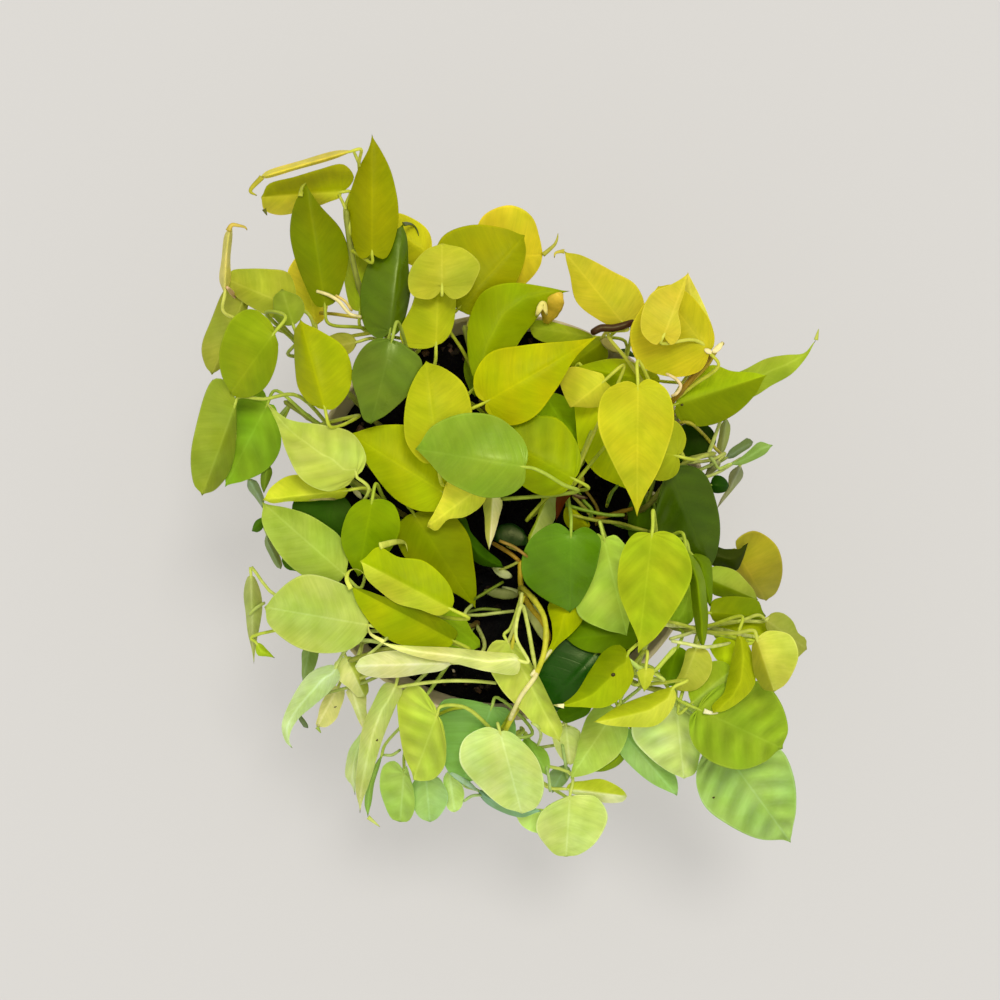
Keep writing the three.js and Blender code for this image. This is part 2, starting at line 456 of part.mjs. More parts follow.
    leaves: [
      ["s1a", 50, -6, -9, -10, "8 -72, -62 -62.5",
        "7 -78, -8 -77, -25 -73, -42 -70, -55 -66",
        "6 -69, -4 -68, -22 -66, -40 -65, -54 -64", { via: [[6, -60, 50], [9, -44, 40]] }],
      ["t4", -26, -14, -4, -4, "-39 -130, -37 -152.5",
        "-33 -130, -30 -134, -28 -140, -30 -146, -34 -151",
        "-43 -130, -46 -134, -46 -141, -44 -148, -41 -151", {}],
      ["t5", -30, -10, -3, -3, "-27.5 -127, -24.5 -147.5",
        "-25 -128, -22 -132, -20 -138, -21 -144, -22 -146",
        "-30 -130, -30 -135, -30 -140, -29 -144, -27 -147", {}],
      ["t3", -22, -16, -4, -5, "-50 -128, -52 -152.5",
        "-49 -124, -47 -130, -45 -138, -45 -147, -48 -152",
        "-55 -122, -60 -124, -62 -134, -60 -143, -56 -151", {}],
      ["y6", -40, -6, -4, -3, "24 -147, 5.5 -149",
        "20 -157.5, 15 -157.5, 9 -154",
        "20 -146, 14 -146, 9 -147", {}],
      ["z3", -30, -6, -3, -3, "31 -124, 24 -138",
        "33.5 -127, 31.5 -132, 27.5 -136",
        "27 -125, 23 -127.5, 23 -133", {}],
      ["z4", -20, -6, -3, -3, "-13 -136.5, 19 -147",
        "-6 -138, 4 -143.5, 13 -144.5",
        "-10 -142, -1 -147.5, 9 -150", {}],
      ["z2", -22, -6, -4, -5, "31 -136, 61.5 -139.5",
        "33 -133, 40 -132, 48 -131, 54 -133, 60 -137",
        "34 -138, 40 -140, 46 -142, 53 -143, 60 -142", {}],
      ["z1", -22, -26, -4, -4, "33 -139.5, 31 -170",
        "38 -139, 46 -140, 52 -150, 46 -162, 37 -169",
        "29 -141, 20 -146, 16 -155, 21 -164, 26 -169", {}],
      ["blob", -8, -8, -3, -3, "11 -110, 22.5 -130",
        "16 -113.5, 21 -117, 23 -123",
        "9 -113, 13 -120, 18 -127", {}],
      ["y7", -10, -8, -3, -3, "31 -104, 33 -124",
        "38 -107, 37.5 -114, 36 -122",
        "24.5 -107, 25 -114, 29 -121", {}],
      ["bg", 8, -18, -5, -6, "-6 -95, -21 -134",
        "2 -96, 6 -106, 2 -118, -7 -127, -16 -132",
        "-14 -92, -31 -92, -34 -104, -32 -117, -27 -128", {}],
      ["t2", 18, -24, -6, -5, "-33.5 -99, -45.5 -131.5",
        "-31 -103, -29 -114, -30 -125, -35 -131, -41 -132",
        "-36 -92, -44 -84, -52 -88, -53 -101, -50 -119", { via: [[-20, -95, 20]] }],
      ["v2", 18, -26, -5, -5, "-2 -107.5, 9 -148.5",
        "2 -107, 9 -112, 17 -122, 20 -135, 16 -145",
        "-9 -105, -20 -111, -22 -123, -11 -136, 0 -145", {}],
      ["v1", 38, -14, -9, -6, "2 -62.5, 28 -112.5",
        "8 -64, 14 -74, 21 -87, 26 -98, 29 -106",
        "-5 -62, -9 -70, -2 -85, 9 -97, 20 -108", { via: [[3, -56, 37], [8, -42, 30]] }],
    ],
  },
  {
    name: "vine_front_low_left", colour: 0xbed264, soil: [-14, -54],
    stem: [[-34, -62, 12], [-58, -66, 22], [-78, -72, 20]],
    leaves: [
      ["t1c", -26, -10, -3, -3, "-61 -119, -68 -150",
        "-62.5 -125, -65 -133, -66.5 -143",
        "-65 -125, -68.5 -135, -69.5 -144", {}],
      ["t1b", -14, -16, -5, -6, "-69.5 -106, -74.5 -139",
        "-68 -108, -69 -115, -71 -122, -72 -129, -74 -135",
        "-72 -109, -77 -116, -79 -124, -79 -130, -76 -134", {}],
      ["r6", -6, -12, -4, -4, "-76 -86, -69 -108",
        "-69.5 -88, -69 -96, -68 -103",
        "-79 -86.5, -75.5 -95, -72 -103", {}],
      ["r3", -22, -4, -1, -1, "-102.5 -98, -98 -105.5",
        "-100.5 -100.5, -99 -102.5, -98 -104.5",
        "-102.5 -101, -101 -103.5, -100 -105", {}],
      ["r2", -14, -14, -4, -4, "-83 -85, -93.5 -105",
        "-80 -86, -80 -90, -82 -96, -84 -101, -89 -105",
        "-86 -84, -89 -89, -92 -95, -93 -100, -94 -103", {}],
      ["r4", -14, -10, -3, -3, "-97 -65, -100.5 -82.5",
        "-93 -66, -93 -70, -95.5 -77",
        "-100.5 -66.5, -101 -74, -101 -79.5", {}],
      ["r5", 10, -12, -5, -5, "-79 -70, -69.5 -90",
        "-76 -70, -73 -74, -70 -80, -68 -84, -68 -88",
        "-84 -72, -85 -77, -82 -82, -77 -86, -73 -90", {}],
      ["t1", 18, -40, -11, -11, "-54 -84, -72 -148",
        "-51 -86, -54 -94, -59 -106, -63 -118, -68 -134",
        "-59 -83, -66 -94, -71 -107, -73 -122, -74 -137", {}],
      ["r1", 12, -26, -8, -11, "-84 -75, -106 -115.5",
        "-82 -80, -87 -87, -95 -94, -103 -101, -107 -108",
        "-86 -74, -97 -78, -106 -91, -111 -104, -109 -112", {}],
      ["s1b", 44, -4, -7, -5, "-26 -73, -74.5 -74.5",
        "-30 -76, -40 -78, -53 -80, -66 -80, -73 -77",
        "-26 -70, -38 -68, -52 -67, -64 -68, -72 -71", { via: [[-16, -72, 38], [-10, -66, 26]] }],
    ],
  },
];

// Slides a point that is seen at (x, y) on the rim's plane to its height over the rim.
function seen(x, y, height) {
  const near = (EYE_HEIGHT - height) / EYE_HEIGHT;
  return new THREE.Vector3(
    EYE_X + (x - EYE_X) * near,
    EYE_Y + (y - EYE_Y) * near,
    POT_HEIGHT + height,
  );
}

// A listed line of points.
function listed(line) {
  return line.split(", ").map((pair) => pair.split(" ").map(Number));
}

// How far aside of the line from joint to tip an edge runs, at a given way along it.
function asideAt(edge, along) {
  const line = [[0, 0], ...edge.filter(([s]) => s > 0.02), [1, 0]];
  for (let i = 1; i < line.length; i += 1) {
    const [[s, from], [next, to]] = [line[i - 1], line[i]];
    if (along >= s && along <= next) return from + ((to - from) * (along - s)) / (next - s);
  }
  return 0;
}

// One point of a blade: along the line from joint to tip (1 = tip), and aside of it.
function bladePoint(leaf, along, aside) {
  const arch = along > 0 ? 4 * along * (1 - along) : 0;
  const off = aside - leaf.middle(along);
  const share = Math.abs(off) / (off > 0 ? leaf.left : leaf.right);
  const lift = off > 0 ? leaf.leftLift : leaf.rightLift;
  const fall = leaf.rise * Math.sign(along) * Math.abs(along) ** DROOP;
  return seen(
    leaf.from.x + leaf.ahead.x * along * leaf.length + leaf.side.x * aside,
    leaf.from.y + leaf.ahead.y * along * leaf.length + leaf.side.y * aside,
    leaf.height + fall + leaf.bow * arch + lift * share ** DROOP,
  );
}

// The middle surface of a blade as points, triangles and outer loop, at a given height.
function bladeSurface(row, height) {
  const [name, , rise, leftLift, rightLift, ends, leftEdge, rightEdge, options] = row;
  const [[jx, jy], [tx, ty]] = listed(ends);
  const length = Math.hypot(tx - jx, ty - jy);
  const ahead = { x: (tx - jx) / length, y: (ty - jy) / length };
  const halves = [leftEdge, rightEdge].map((edge) => listed(edge).map(([x, y]) => [
    ((x - jx) * ahead.x + (y - jy) * ahead.y) / length,
    (y - jy) * ahead.x - (x - jx) * ahead.y,
  ]));
  const bent = halves.some((half, i) => half.some(([, w]) => (i ? -w : w) < OFF_MIDRIB));
  const middle = (s) => (bent ? (asideAt(halves[0], s) + asideAt(halves[1], s)) / 2 : 0);
  const [left, right] = halves.map((half) => Math.max(
    ...half.map(([s, w]) => Math.abs(w - middle(s))),
  ));
  const leaf = {
    name, height, rise, left, leftLift, right, rightLift, ahead, length, middle,
    from: { x: jx, y: jy },
    side: { x: -ahead.y, y: ahead.x },
    bow: options.bow ?? 2, via: options.via ?? [], reach: options.reach ?? REACH,
  };
  const rib = leftEdge.split(",").length > 3 ? RIB : SLIP_RIB;
  const last = rib.length - 1;
  const points = rib.map((s) => bladePoint(leaf, s, middle(s)));
  const triangles = [];
  const edges = [];
  halves.forEach((half, side) => {
    // The stalk joins between the two halves, which start to either side of it.
    const near = side === 0 ? 0 : points.length;
    if (side) points.push(points[0].clone());
    const first = points.length;
    half.forEach(([s, w]) => points.push(bladePoint(leaf, s, w)));
    const edge = [near, ...half.map((_, i) => first + i), last];
    const stations = [0, ...half.map(([s]) => s), 1];
    const along = [near, ...rib.slice(1).map((_, i) => i + 1)];
    let i = 0;
    let j = 0;
    while (i < edge.length - 1) {
      const stepRib = j < last - 1 && rib[j + 1] <= stations[i] && i > 0;
      const corner = stepRib
        ? [along[j], along[j + 1], edge[i]]
        : [along[j], edge[i + 1], edge[i]];
      if (stepRib) j += 1;
      else i += 1;
      if (new Set(corner).size === 3) triangles.push(side ? corner.toReversed() : corner);
    }
    edges.push(edge);
  });
  leaf.joint = points[0].clone();
  const [onLeft, onRight] = [edges[0][0], edges[1][0]];
  points[onLeft].add(new THREE.Vector3(leaf.side.x, leaf.side.y, 0).multiplyScalar(PETIOLE));
  points[onRight].sub(new THREE.Vector3(leaf.side.x, leaf.side.y, 0).multiplyScalar(PETIOLE));
  triangles.push([onLeft, onRight, 1]);
  leaf.points = points;
  leaf.triangles = triangles;
  leaf.loop = [...edges[1].slice(0, -1), ...edges[0].toReversed()];
  return leaf;
}

// Height of a surface over (x, y), or null outside it.
function heightAt(leaf, x, y) {
  let best = null;
  for (const [a, b, c] of leaf.triangles) {
    const p = leaf.points[a];
    const q = leaf.points[b];
    const r = leaf.points[c];
    const area = (q.x - p.x) * (r.y - p.y) - (r.x - p.x) * (q.y - p.y);
    if (Math.abs(area) < 1e-9) continue;
    const v = ((x - p.x) * (r.y - p.y) - (r.x - p.x) * (y - p.y)) / area;
    const w = ((q.x - p.x) * (y - p.y) - (x - p.x) * (q.y - p.y)) / area;
    if (v < 0 || w < 0 || v + w > 1) continue;
    const z = p.z + v * (q.z - p.z) + w * (r.z - p.z);
    best = best === null ? z : Math.max(best, z);
  }
  return best;
}

// How far a blade has to rise to clear one that lies lower.
function liftOver(upper, lower) {
  if (upper.box.min.x > lower.box.max.x || lower.box.min.x > upper.box.max.x) return 0;
  if (upper.box.min.y > lower.box.max.y || lower.box.min.y > upper.box.max.y) return 0;
  let need = -Infinity;
  for (const p of upper.points) {
    const z = heightAt(lower, p.x, p.y);
    if (z !== null) need = Math.max(need, z - p.z);
  }
  for (const p of lower.points) {
    const z = heightAt(upper, p.x, p.y);
    if (z !== null) need = Math.max(need, p.z - z);
  }
  for (const [a, b] of upper.edges) {
    for (const [c, d] of lower.edges) {
      const ux = b.x - a.x;
      const uy = b.y - a.y;
      const vx = d.x - c.x;
      const vy = d.y - c.y;
      const cross = ux * vy - uy * vx;
      if (Math.abs(cross) < 1e-9) continue;
      const s = ((c.x - a.x) * vy - (c.y - a.y) * vx) / cross;
      const t = ((c.x - a.x) * uy - (c.y - a.y) * ux) / cross;
      if (s < 0 || s > 1 || t < 0 || t > 1) continue;
      need = Math.max(need, c.z + (d.z - c.z) * t - a.z - (b.z - a.z) * s);
    }
  }
  return need + upper.thick + lower.thick + LEAF_GAP;
}

// Adds what liftOver reads: the edges, the box and half the upright thickness.
function measured(leaf) {
  const seenEdges = new Set();
  leaf.edges = [];
  leaf.thick = 0;
  for (const corner of leaf.triangles) {
    const [p, q, r] = corner.map((i) => leaf.points[i]);
    const normal = q.clone().sub(p).cross(r.clone().sub(p)).normalize();
    leaf.thick = Math.max(leaf.thick, Math.min(BLADE / 2 / Math.abs(normal.z), 3.4));
    corner.forEach((i, k) => {
      const j = corner[(k + 1) % 3];
      const key = Math.min(i, j) * 100 + Math.max(i, j);
      if (!seenEdges.has(key)) leaf.edges.push([leaf.points[i], leaf.points[j]]);
      seenEdges.add(key);
    });
  }
  leaf.box = new THREE.Box3().setFromPoints(leaf.points);
  return leaf;
}

// Lays the leaves from the lowest to the highest, each lifted clear of those under it.
function layLeaves() {
  const rows = VINES.flatMap((vine) => vine.leaves.map((row) => ({ vine: vine.name, row })));
  rows.sort((one, two) => one.row[1] - two.row[1]);
  const laid = [];
  for (const { vine, row } of rows) {
    let height = row[1];
    let leaf = measured(bladeSurface(row, height));
    for (let pass = 0; pass < 6; pass += 1) {
      const lift = Math.max(0, ...laid.map((lower) => liftOver(leaf, lower)));
      if (lift < 0.02) break;
      height += lift;
      leaf = measured(bladeSurface(row, height));
    }
    leaf.vine = vine;
    laid.push(leaf);
  }
  return laid;
}

// A blade as a closed solid: its middle surface moved half its thickness to either side.
function bladeGeometry(leaf) {
  const count = leaf.points.length;
  const normals = leaf.points.map(() => new THREE.Vector3());
  for (const corner of leaf.triangles) {
    const [p, q, r] = corner.map((i) => leaf.points[i]);
    const normal = q.clone().sub(p).cross(r.clone().sub(p));
    corner.forEach((i) => normals[i].add(normal));
  }
  const positions = [];
  for (const half of [BLADE / 2, -BLADE / 2]) {
    leaf.points.forEach((p, i) => {
      const moved = p.clone().addScaledVector(normals[i].clone().normalize(), half);
      positions.push(moved.x, moved.y, moved.z);
    });
  }
  const index = [];
  for (const [a, b, c] of leaf.triangles) {
    index.push(a, b, c, c + count, b + count, a + count);
  }
  leaf.loop.forEach((a, i) => {
    const b = leaf.loop[(i + 1) % leaf.loop.length];
    index.push(a, a + count, b + count, a, b + count, b);
  });
  const [onLeft, onRight] = [leaf.loop.at(-1), leaf.loop[0]];
  const corner = (i) => new THREE.Vector3().fromArray(positions, 3 * i);
  leaf.root = [onLeft, onLeft + count, onRight + count, onRight].map(corner);
  return closed(positions, index);
}

function closed(positions, index) {
  const geometry = new THREE.BufferGeometry();
  geometry.setAttribute("position", new THREE.Float32BufferAttribute(positions, 3));
  geometry.setIndex(index);
  return geometry;
}

// A stalk through the centres of its rings. It starts from a given ring of corners, or from a
// round one, and ends thin, inside what it grows from.
function stalkGeometry(centres, radius, sides, ends, root) {
  const positions = [];
  const index = [];
  const last = centres.length - 1;
  const across = root
    ? root[0].clone().sub(root[3]).normalize()
    : new THREE.Vector3(1, 0, 0);
  centres.forEach((at, i) => {
    const ahead = centres[Math.min(i + 1, last)].clone().sub(centres[Math.max(i - 1, 0)]);
    ahead.normalize();
    const size = i === last || (i === 0 && !root) ? radius * ends : radius;
    across.addScaledVector(ahead, -across.dot(ahead)).normalize();
    const up = across.clone().cross(ahead);
    for (let j = 0; j < sides; j += 1) {
      const turn = (2 * Math.PI * (0.5 - j)) / sides;
      const point = root && i === 0 ? root[j] : at.clone()
        .addScaledVector(across, size * Math.cos(turn))
        .addScaledVector(up, size * Math.sin(turn));
      positions.push(point.x, point.y, point.z);
      const next = (j + 1) % sides;
      const here = i * sides;
      const there = here + sides;
      if (i < last) index.push(here + j, here + next, there + next);
      if (i < last) index.push(here + j, there + next, there + j);
    }
  });
  const end = last * sides;
  for (let j = 1; j < sides - 1; j += 1) {
    index.push(0, j + 1, j, end, end + j, end + j + 1);
  }
  return closed(positions, index);
}

// Ring centres along a smooth line through the points.
function smooth(points, steps) {
  return new THREE.CatmullRomCurve3(points, false, "centripetal").getPoints(steps);
}

// The vine's own line: up from the soil and on through its listed points.
function vineLine(vine) {
  const [x, y] = vine.soil;
  const points = [-ROOTED, 2, 8].map((z) => new THREE.Vector3(x, y, GROUND + z));
  points.push(...vine.stem.map(([px, py, pz]) => seen(px, py, pz)));
  return smooth(points, points.length + 4);
}

// Where the line between two points crosses a circle about the pot's axis, at a given height.
function crossing(inner, outer, radius, height) {
  const ux = outer.x - inner.x;
  const uy = outer.y - inner.y;
  const a = ux * ux + uy * uy;
  const b = inner.x * ux + inner.y * uy;
  const c = inner.x ** 2 + inner.y ** 2 - radius ** 2;
  const t = (-b + Math.sqrt(Math.max(0, b * b - a * c))) / a;
  return new THREE.Vector3(inner.x + t * ux, inner.y + t * uy, POT_HEIGHT + height);
}

// Whether a point comes too close to a blade.
function touchesBlade(leaf, point, clear) {
  if (point.x < leaf.box.min.x - 1 || point.x > leaf.box.max.x + 1) return false;
  if (point.y < leaf.box.min.y - 1 || point.y > leaf.box.max.y + 1) return false;
  for (const [a, b, c] of leaf.triangles) {
    const p = leaf.points[a];
    const q = leaf.points[b];
    const r = leaf.points[c];
    const area = (q.x - p.x) * (r.y - p.y) - (r.x - p.x) * (q.y - p.y);
    if (Math.abs(area) < 1e-9) continue;
    const v = ((point.x - p.x) * (r.y - p.y) - (r.x - p.x) * (point.y - p.y)) / area;
    const w = ((q.x - p.x) * (point.y - p.y) - (point.x - p.x) * (q.y - p.y)) / area;
    if (v < -0.1 || w < -0.1 || v + w > 1.1) continue;
    const z = p.z + v * (q.z - p.z) + w * (r.z - p.z);
    const steep = q.clone().sub(p).cross(r.clone().sub(p)).length() / Math.abs(area);
    if (Math.abs(point.z - z) < clear * Math.min(steep, 3)) return true;
  }
  return false;
}

// How much of a stalk's way is blocked: by blades, by the rim, by the soil and by other stems.
function blocked(centres, leaf, stems) {
  const walked = [];
  for (let i = 1; i < centres.length; i += 1) {
    const parts = Math.ceil(centres[i].distanceTo(centres[i - 1]) / 3);
    for (let k = 0; k < parts; k += 1) {
      walked.push(centres[i - 1].clone().lerp(centres[i], k / parts));
    }
  }
  let sum = 0;
  walked.forEach((point, i) => {
    const height = point.z - POT_HEIGHT;
    const r = Math.hypot(point.x, point.y);
    if (r > RIM_RADIUS - 7 && r < RIM_RADIUS + 3 && height < 3) sum += 100;
    if (r <= RIM_RADIUS && point.z < GROUND + 3) sum += 100;
    for (const other of laid) {
      if (other === leaf && i < 3) continue;
      if (!touchesBlade(other, point, PETIOLE + BLADE / 2 + FIT)) continue;
      sum += other.vine === leaf.vine ? 6 : 40;
    }
    for (const { vine, at, size } of stems) {
      const apart = at.distanceTo(point);
      if (vine === leaf.vine && size < STEM) sum += apart < 2.2 && i < walked.length - 3 ? 2 : 0;
      else if (vine !== leaf.vine && apart < size + PETIOLE + 1) sum += 30;
    }
  });
  return sum;
}

// A leaf stalk: back from the blade's sinus and down to its vine, by the least blocked way.
function stalkLine(leaf, spine, stems) {
  const { joint } = leaf;
  const via = leaf.via.map(([x, y, z]) => seen(x, y, z + leaf.height - leaf.listed));
  const from = via.length ? via.at(-1) : joint;
  const back = new THREE.Vector3(-leaf.ahead.x, -leaf.ahead.y, -0.25);
  const outside = Math.hypot(from.x, from.y) > RIM_RADIUS && from.z < POT_HEIGHT + RIM_CLEAR;
  let best = null;
  let least = Infinity;
  for (let i = 0; i < 2 * spine.length - 2; i += 1) {
    const foot = spine[i >> 1].clone().lerp(spine[(i + 1) >> 1], 0.5);
    if (foot.z < GROUND + 7) continue;
    const far = foot.distanceTo(from);
    const over = outside && Math.hypot(foot.x, foot.y) < RIM_RADIUS
      ? OVER_RIM.map(([r, z]) => crossing(foot, from, r, z))
      : [];
    const straight = via.length + over.length > 0;
    for (const aside of straight ? [0] : [0, 1, -1, 2, -2]) {
      for (const sag of straight ? [0] : [0, 1, 2]) {
        const bend = joint.clone().addScaledVector(back, straight ? 4 : far * 0.18 + 2);
        const way = foot.clone().lerp(bend, 0.45);
        way.x += leaf.side.x * aside * 9;
        way.y += leaf.side.y * aside * 9;
        way.z += (foot.z - bend.z) * 0.25 * sag;
        const points = straight ? [joint, bend, ...via, ...over, foot] : [joint, bend, way, foot];
        const centres = smooth(points, points.length > 4 ? 6 : 4);
        const cost = blocked(centres, leaf, stems) + Math.abs(far - leaf.reach) * 0.3
          + Math.max(0, foot.z - from.z) * 0.5 + Math.abs(aside) + sag * 0.5;
        if (cost < least) {
          least = cost;
          best = centres;
        }
      }
    }
  }
  leaf.cost = least;
  return best;
}

const wasm = await Module();
wasm.setup();

function toManifold(geometry) {
  return new wasm.Manifold(new wasm.Mesh({
    numProp: 3,
    vertProperties: new Float32Array(geometry.attributes.position.array),
    triVerts: new Uint32Array(geometry.index.array),
  }));
}

function toGeometry(solid) {
  const mesh = solid.getMesh();
  const geometry = new THREE.BufferGeometry();
  geometry.setAttribute("position", new THREE.Float32BufferAttribute(mesh.vertProperties, 3));
  geometry.setIndex(Array.from(mesh.triVerts));
  return geometry;
}

// Fills the pockets that stalks and blades close off where they meet.
function whole(solid) {
  const shells = solid.simplify(TRIM).decompose();
  return wasm.Manifold.union(shells.filter((shell) => shell.volume() > TRIM));
}

function turned(profile) {
  const body = new THREE.LatheGeometry(profile.map(([r, z]) => new THREE.Vector2(r, z)), ROUND);
  body.rotateX(Math.PI / 2);
  body.deleteAttribute("normal");
  body.deleteAttribute("uv");
  return mergeVertices(body, 1e-4);
}

function wallRadius(z) {
  return BASE_RADIUS + ((RIM_RADIUS - BASE_RADIUS) * z) / POT_HEIGHT - WALL;
}

const group = new THREE.Group();
function add(name, geometry, colour, roughness) {
  const material = new THREE.MeshStandardMaterial({ color: colour, roughness, metalness: 0 });
  const mesh = new THREE.Mesh(geometry, material);
  mesh.name = name;
  group.add(mesh);
}

const RIM_EDGE = 0.8; // how far the rim is rounded
add("pot", turned([
  [0, 0],
  [BASE_RADIUS - 1.5, 0],
  [BASE_RADIUS, 1.5],
  [RIM_RADIUS, POT_HEIGHT - RIM_EDGE],
  [RIM_RADIUS - RIM_EDGE, POT_HEIGHT],
  [RIM_RADIUS - WALL + RIM_EDGE, POT_HEIGHT],
  [wallRadius(POT_HEIGHT), POT_HEIGHT - RIM_EDGE],
  [wallRadius(FLOOR), FLOOR],
  [0, FLOOR],
]), 0xe6dcbe, 0.55);

// The soil fills the pot up to its level, a little mounded, with a plain hole for each vine.
let soil = toManifold(turned([
  [0, FLOOR + FIT],
  [wallRadius(FLOOR) - FIT, FLOOR + FIT],
  [wallRadius(GROUND - 2) - FIT, GROUND - 2],
  [wallRadius(GROUND) * 0.6, GROUND],
  [0, GROUND + 1],
]));
for (const vine of VINES) {
  const deep = ROOTED + FIT;
  const hole = wasm.Manifold.cylinder(deep + 6, STEM + FIT + 0.15, STEM + FIT + 0.25, 6)
    .translate([vine.soil[0], vine.soil[1], GROUND - deep]);
  soil = soil.subtract(hole);
}
add("soil", toGeometry(soil), 0x2a1e12, 0.95);

const laid = layLeaves();
const spines = new Map(VINES.map((vine) => [vine.name, vineLine(vine)]));
const stems = [];
function occupy(vine, centres, size) {
  for (let i = 1; i < centres.length; i += 1) {
    const parts = Math.ceil(centres[i].distanceTo(centres[i - 1]) / 2);
    for (let k = 0; k <= parts; k += 1) {
      stems.push({ vine, size, at: centres[i - 1].clone().lerp(centres[i], k / parts) });
    }
  }
}
spines.forEach((spine, vine) => occupy(vine, spine, STEM));
for (const vine of VINES) {
  const spine = spines.get(vine.name);
  const solids = [toManifold(stalkGeometry(spine, STEM, 5, 0.9))];
  for (const leaf of laid.filter((one) => one.vine === vine.name)) {
    leaf.listed = vine.leaves.find(([name]) => name === leaf.name)[1];
    solids.push(toManifold(bladeGeometry(leaf)));
    const stalk = stalkLine(leaf, spine, stems);
    occupy(vine.name, stalk, PETIOLE);
    solids.push(toManifold(stalkGeometry(stalk, PETIOLE, 4, 0.3, leaf.root)));
  }
  add(vine.name, toGeometry(whole(wasm.Manifold.union(solids))), vine.colour, 0.45);
}

export default group;
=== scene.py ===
"""Potted neon pothos: finer leaves, stalks, stems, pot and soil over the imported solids.
The part is in millimetres here and is put in the scene in metres."""
import math

import bpy
import numpy as np
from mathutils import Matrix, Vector


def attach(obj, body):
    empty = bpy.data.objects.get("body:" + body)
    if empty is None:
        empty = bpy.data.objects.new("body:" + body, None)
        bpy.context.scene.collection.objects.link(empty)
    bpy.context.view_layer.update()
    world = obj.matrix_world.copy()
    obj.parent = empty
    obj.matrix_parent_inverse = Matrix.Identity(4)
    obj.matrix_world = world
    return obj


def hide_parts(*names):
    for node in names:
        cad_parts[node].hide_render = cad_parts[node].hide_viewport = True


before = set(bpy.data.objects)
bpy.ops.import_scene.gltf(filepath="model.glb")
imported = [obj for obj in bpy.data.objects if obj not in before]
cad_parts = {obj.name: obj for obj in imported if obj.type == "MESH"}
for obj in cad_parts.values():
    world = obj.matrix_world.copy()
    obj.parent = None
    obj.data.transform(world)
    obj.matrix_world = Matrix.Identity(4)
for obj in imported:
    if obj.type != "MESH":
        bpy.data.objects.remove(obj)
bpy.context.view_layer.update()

MM = 0.001
POT_HEIGHT = 170
RIM_RADIUS = 102
BASE_RADIUS = 74
WALL = 2.6
FLOOR = 4
SOIL_DEPTH = 22  # from the rim down to the soil
GROUND = POT_HEIGHT - SOIL_DEPTH
FIT = 0.3

BLADE = 0.8  # blade thickness of the solids
FINE_BLADE = 0.5  # and of the finer blades here
PETIOLE = 0.95
STEM = 1.5
ROOTED = 16
LEAF_GAP = 0.5  # air between blades that lie over each other
DROOP = 1.3  # how a blade falls towards its tip and edges, as a power
RIM_CLEAR = 9  # a stalk that starts lower than this over the rim is led across it
OVER_RIM = [[RIM_RADIUS + 5, 7], [RIM_RADIUS - 8, 11]]  # by points at these radii and heights
REACH = 34  # a stalk's usual length

# What a stalk's way costs where something blocks it, for each point of it.
RIM_BAND = [RIM_RADIUS - 7, RIM_RADIUS + 3]
WALL_COST = 100.0
OWN_BLADE_COST = 6
OTHER_BLADE_COST = 40
TWIN_GAP = 2.2  # stalks of one vine nearer than this look like one
TWIN_COST = 2
OTHER_STEM_COST = 30

# The eye over the pot: the camera stands there, and the leaves are listed as seen from it.
EYE_HEIGHT = 1200
EYE_X = -2
EYE_Y = 8.5
LENS_MM = 86.4
SENSOR_MM = 36

RIB = [0, 0.3, 0.65, 1]  # where a blade's midrib has points (1 = tip)
SLIP_RIB = [0, 0.45, 1]
OFF_MIDRIB = 0.6  # an edge nearer than this to the line from joint to tip bends the midrib

# Tones that leaves share (sRGB). The other rows have their own, matched to the middle colour
# that the photograph has there.
# Where a row gives two tones, its halves differ partly in their own colour and partly by painted light and
# shade: the half turned to the light is painted paler.
TONES = {
    "yellow": (200, 200, 35), "lime": (170, 195, 45), "green": (130, 160, 25),
    "dark": (78, 118, 20), "fresh": (150, 190, 80), "grey": (120, 140, 90),
}
VINES = {}


def vine(name, soil, stem, leaves):
    """A vine: where it stands in the soil, the points it passes (x, y, height over the rim),
    and its leaves. A leaf: name; height of its joint with the stalk; rise to the tip; lift of
    the left edge and of the right; tone, or the two halves' tones; joint and tip; the left edge
    and the right edge from the base to the tip; options, if any. The joint, tip and edges are
    x y pairs read off the view from above."""
    VINES[name] = {"soil": soil, "stem": stem, "leaves": leaves}


vine("vine_top_left", [-36, 50], [[-50, 78, 10], [-69, 106, 18], [-77, 136, 26], [-79, 154, 32]], [
    ["l6b", 22, -2, -4, -4, (192, 195, 80), "-73.5 87.5, -100 82",
     "-75 84, -80 80, -86 77, -92 76, -97 78", "-76 91, -82 92, -88 90, -94 88, -98 85"],
    ["a4", 10, -4, -8, -8, (235, 230, 65), "-94 96, -101 136",
     "-97 99, -102 108, -108 117, -108 123, -104 130", "-90 99, -88 108, -90 117, -94 125, -98 132"],
    ["b1g", 16, 0, -9, -8, (190, 210, 50), "-72 103, -74 146.5",
     "-76 104, -79 113, -80 123, -78 134, -76 141", "-68 105, -64 115, -63 126, -66 134, -71 141"],
    ["b1", 34, 4, -8, -6, (150, 156, 5), "-66 132, -66 191.5",
     "-71 129, -77 142, -78 156, -74 171, -68 183", "-60 129, -54 141, -53 155, -56 171, -62 184",
     {"reach": 14}],
    ["a2", 30, -12, -13, -9, [(215, 215, 60), (160, 165, 15)], "-81 162.5, -121.5 160",
     "-82 160, -87 158, -98 154, -112 151, -120 154", "-75 170, -80 176, -92 174, -105 170, -118 166",
     {"via": [[-79.5, 154, 27]]}],
    ["a3", 32, 2, -7, -9, (125, 140, 5), "-89.5 105.5, -99 167",
     "-93 105, -100 117, -105 132, -107 144, -104 158", "-85 107, -80 118, -78 131, -82 144, -93 157"],
    ["a1", 52, -8, -13, -12, (225, 215, 75), "-76 183, -122.5 169.5",
     "-84 179.5, -103 174, -119 169.5", "-84 183, -100 178.5, -119 172.5",
     {"via": [[-72.5, 177, 36], [-72, 166, 22]]}],
])
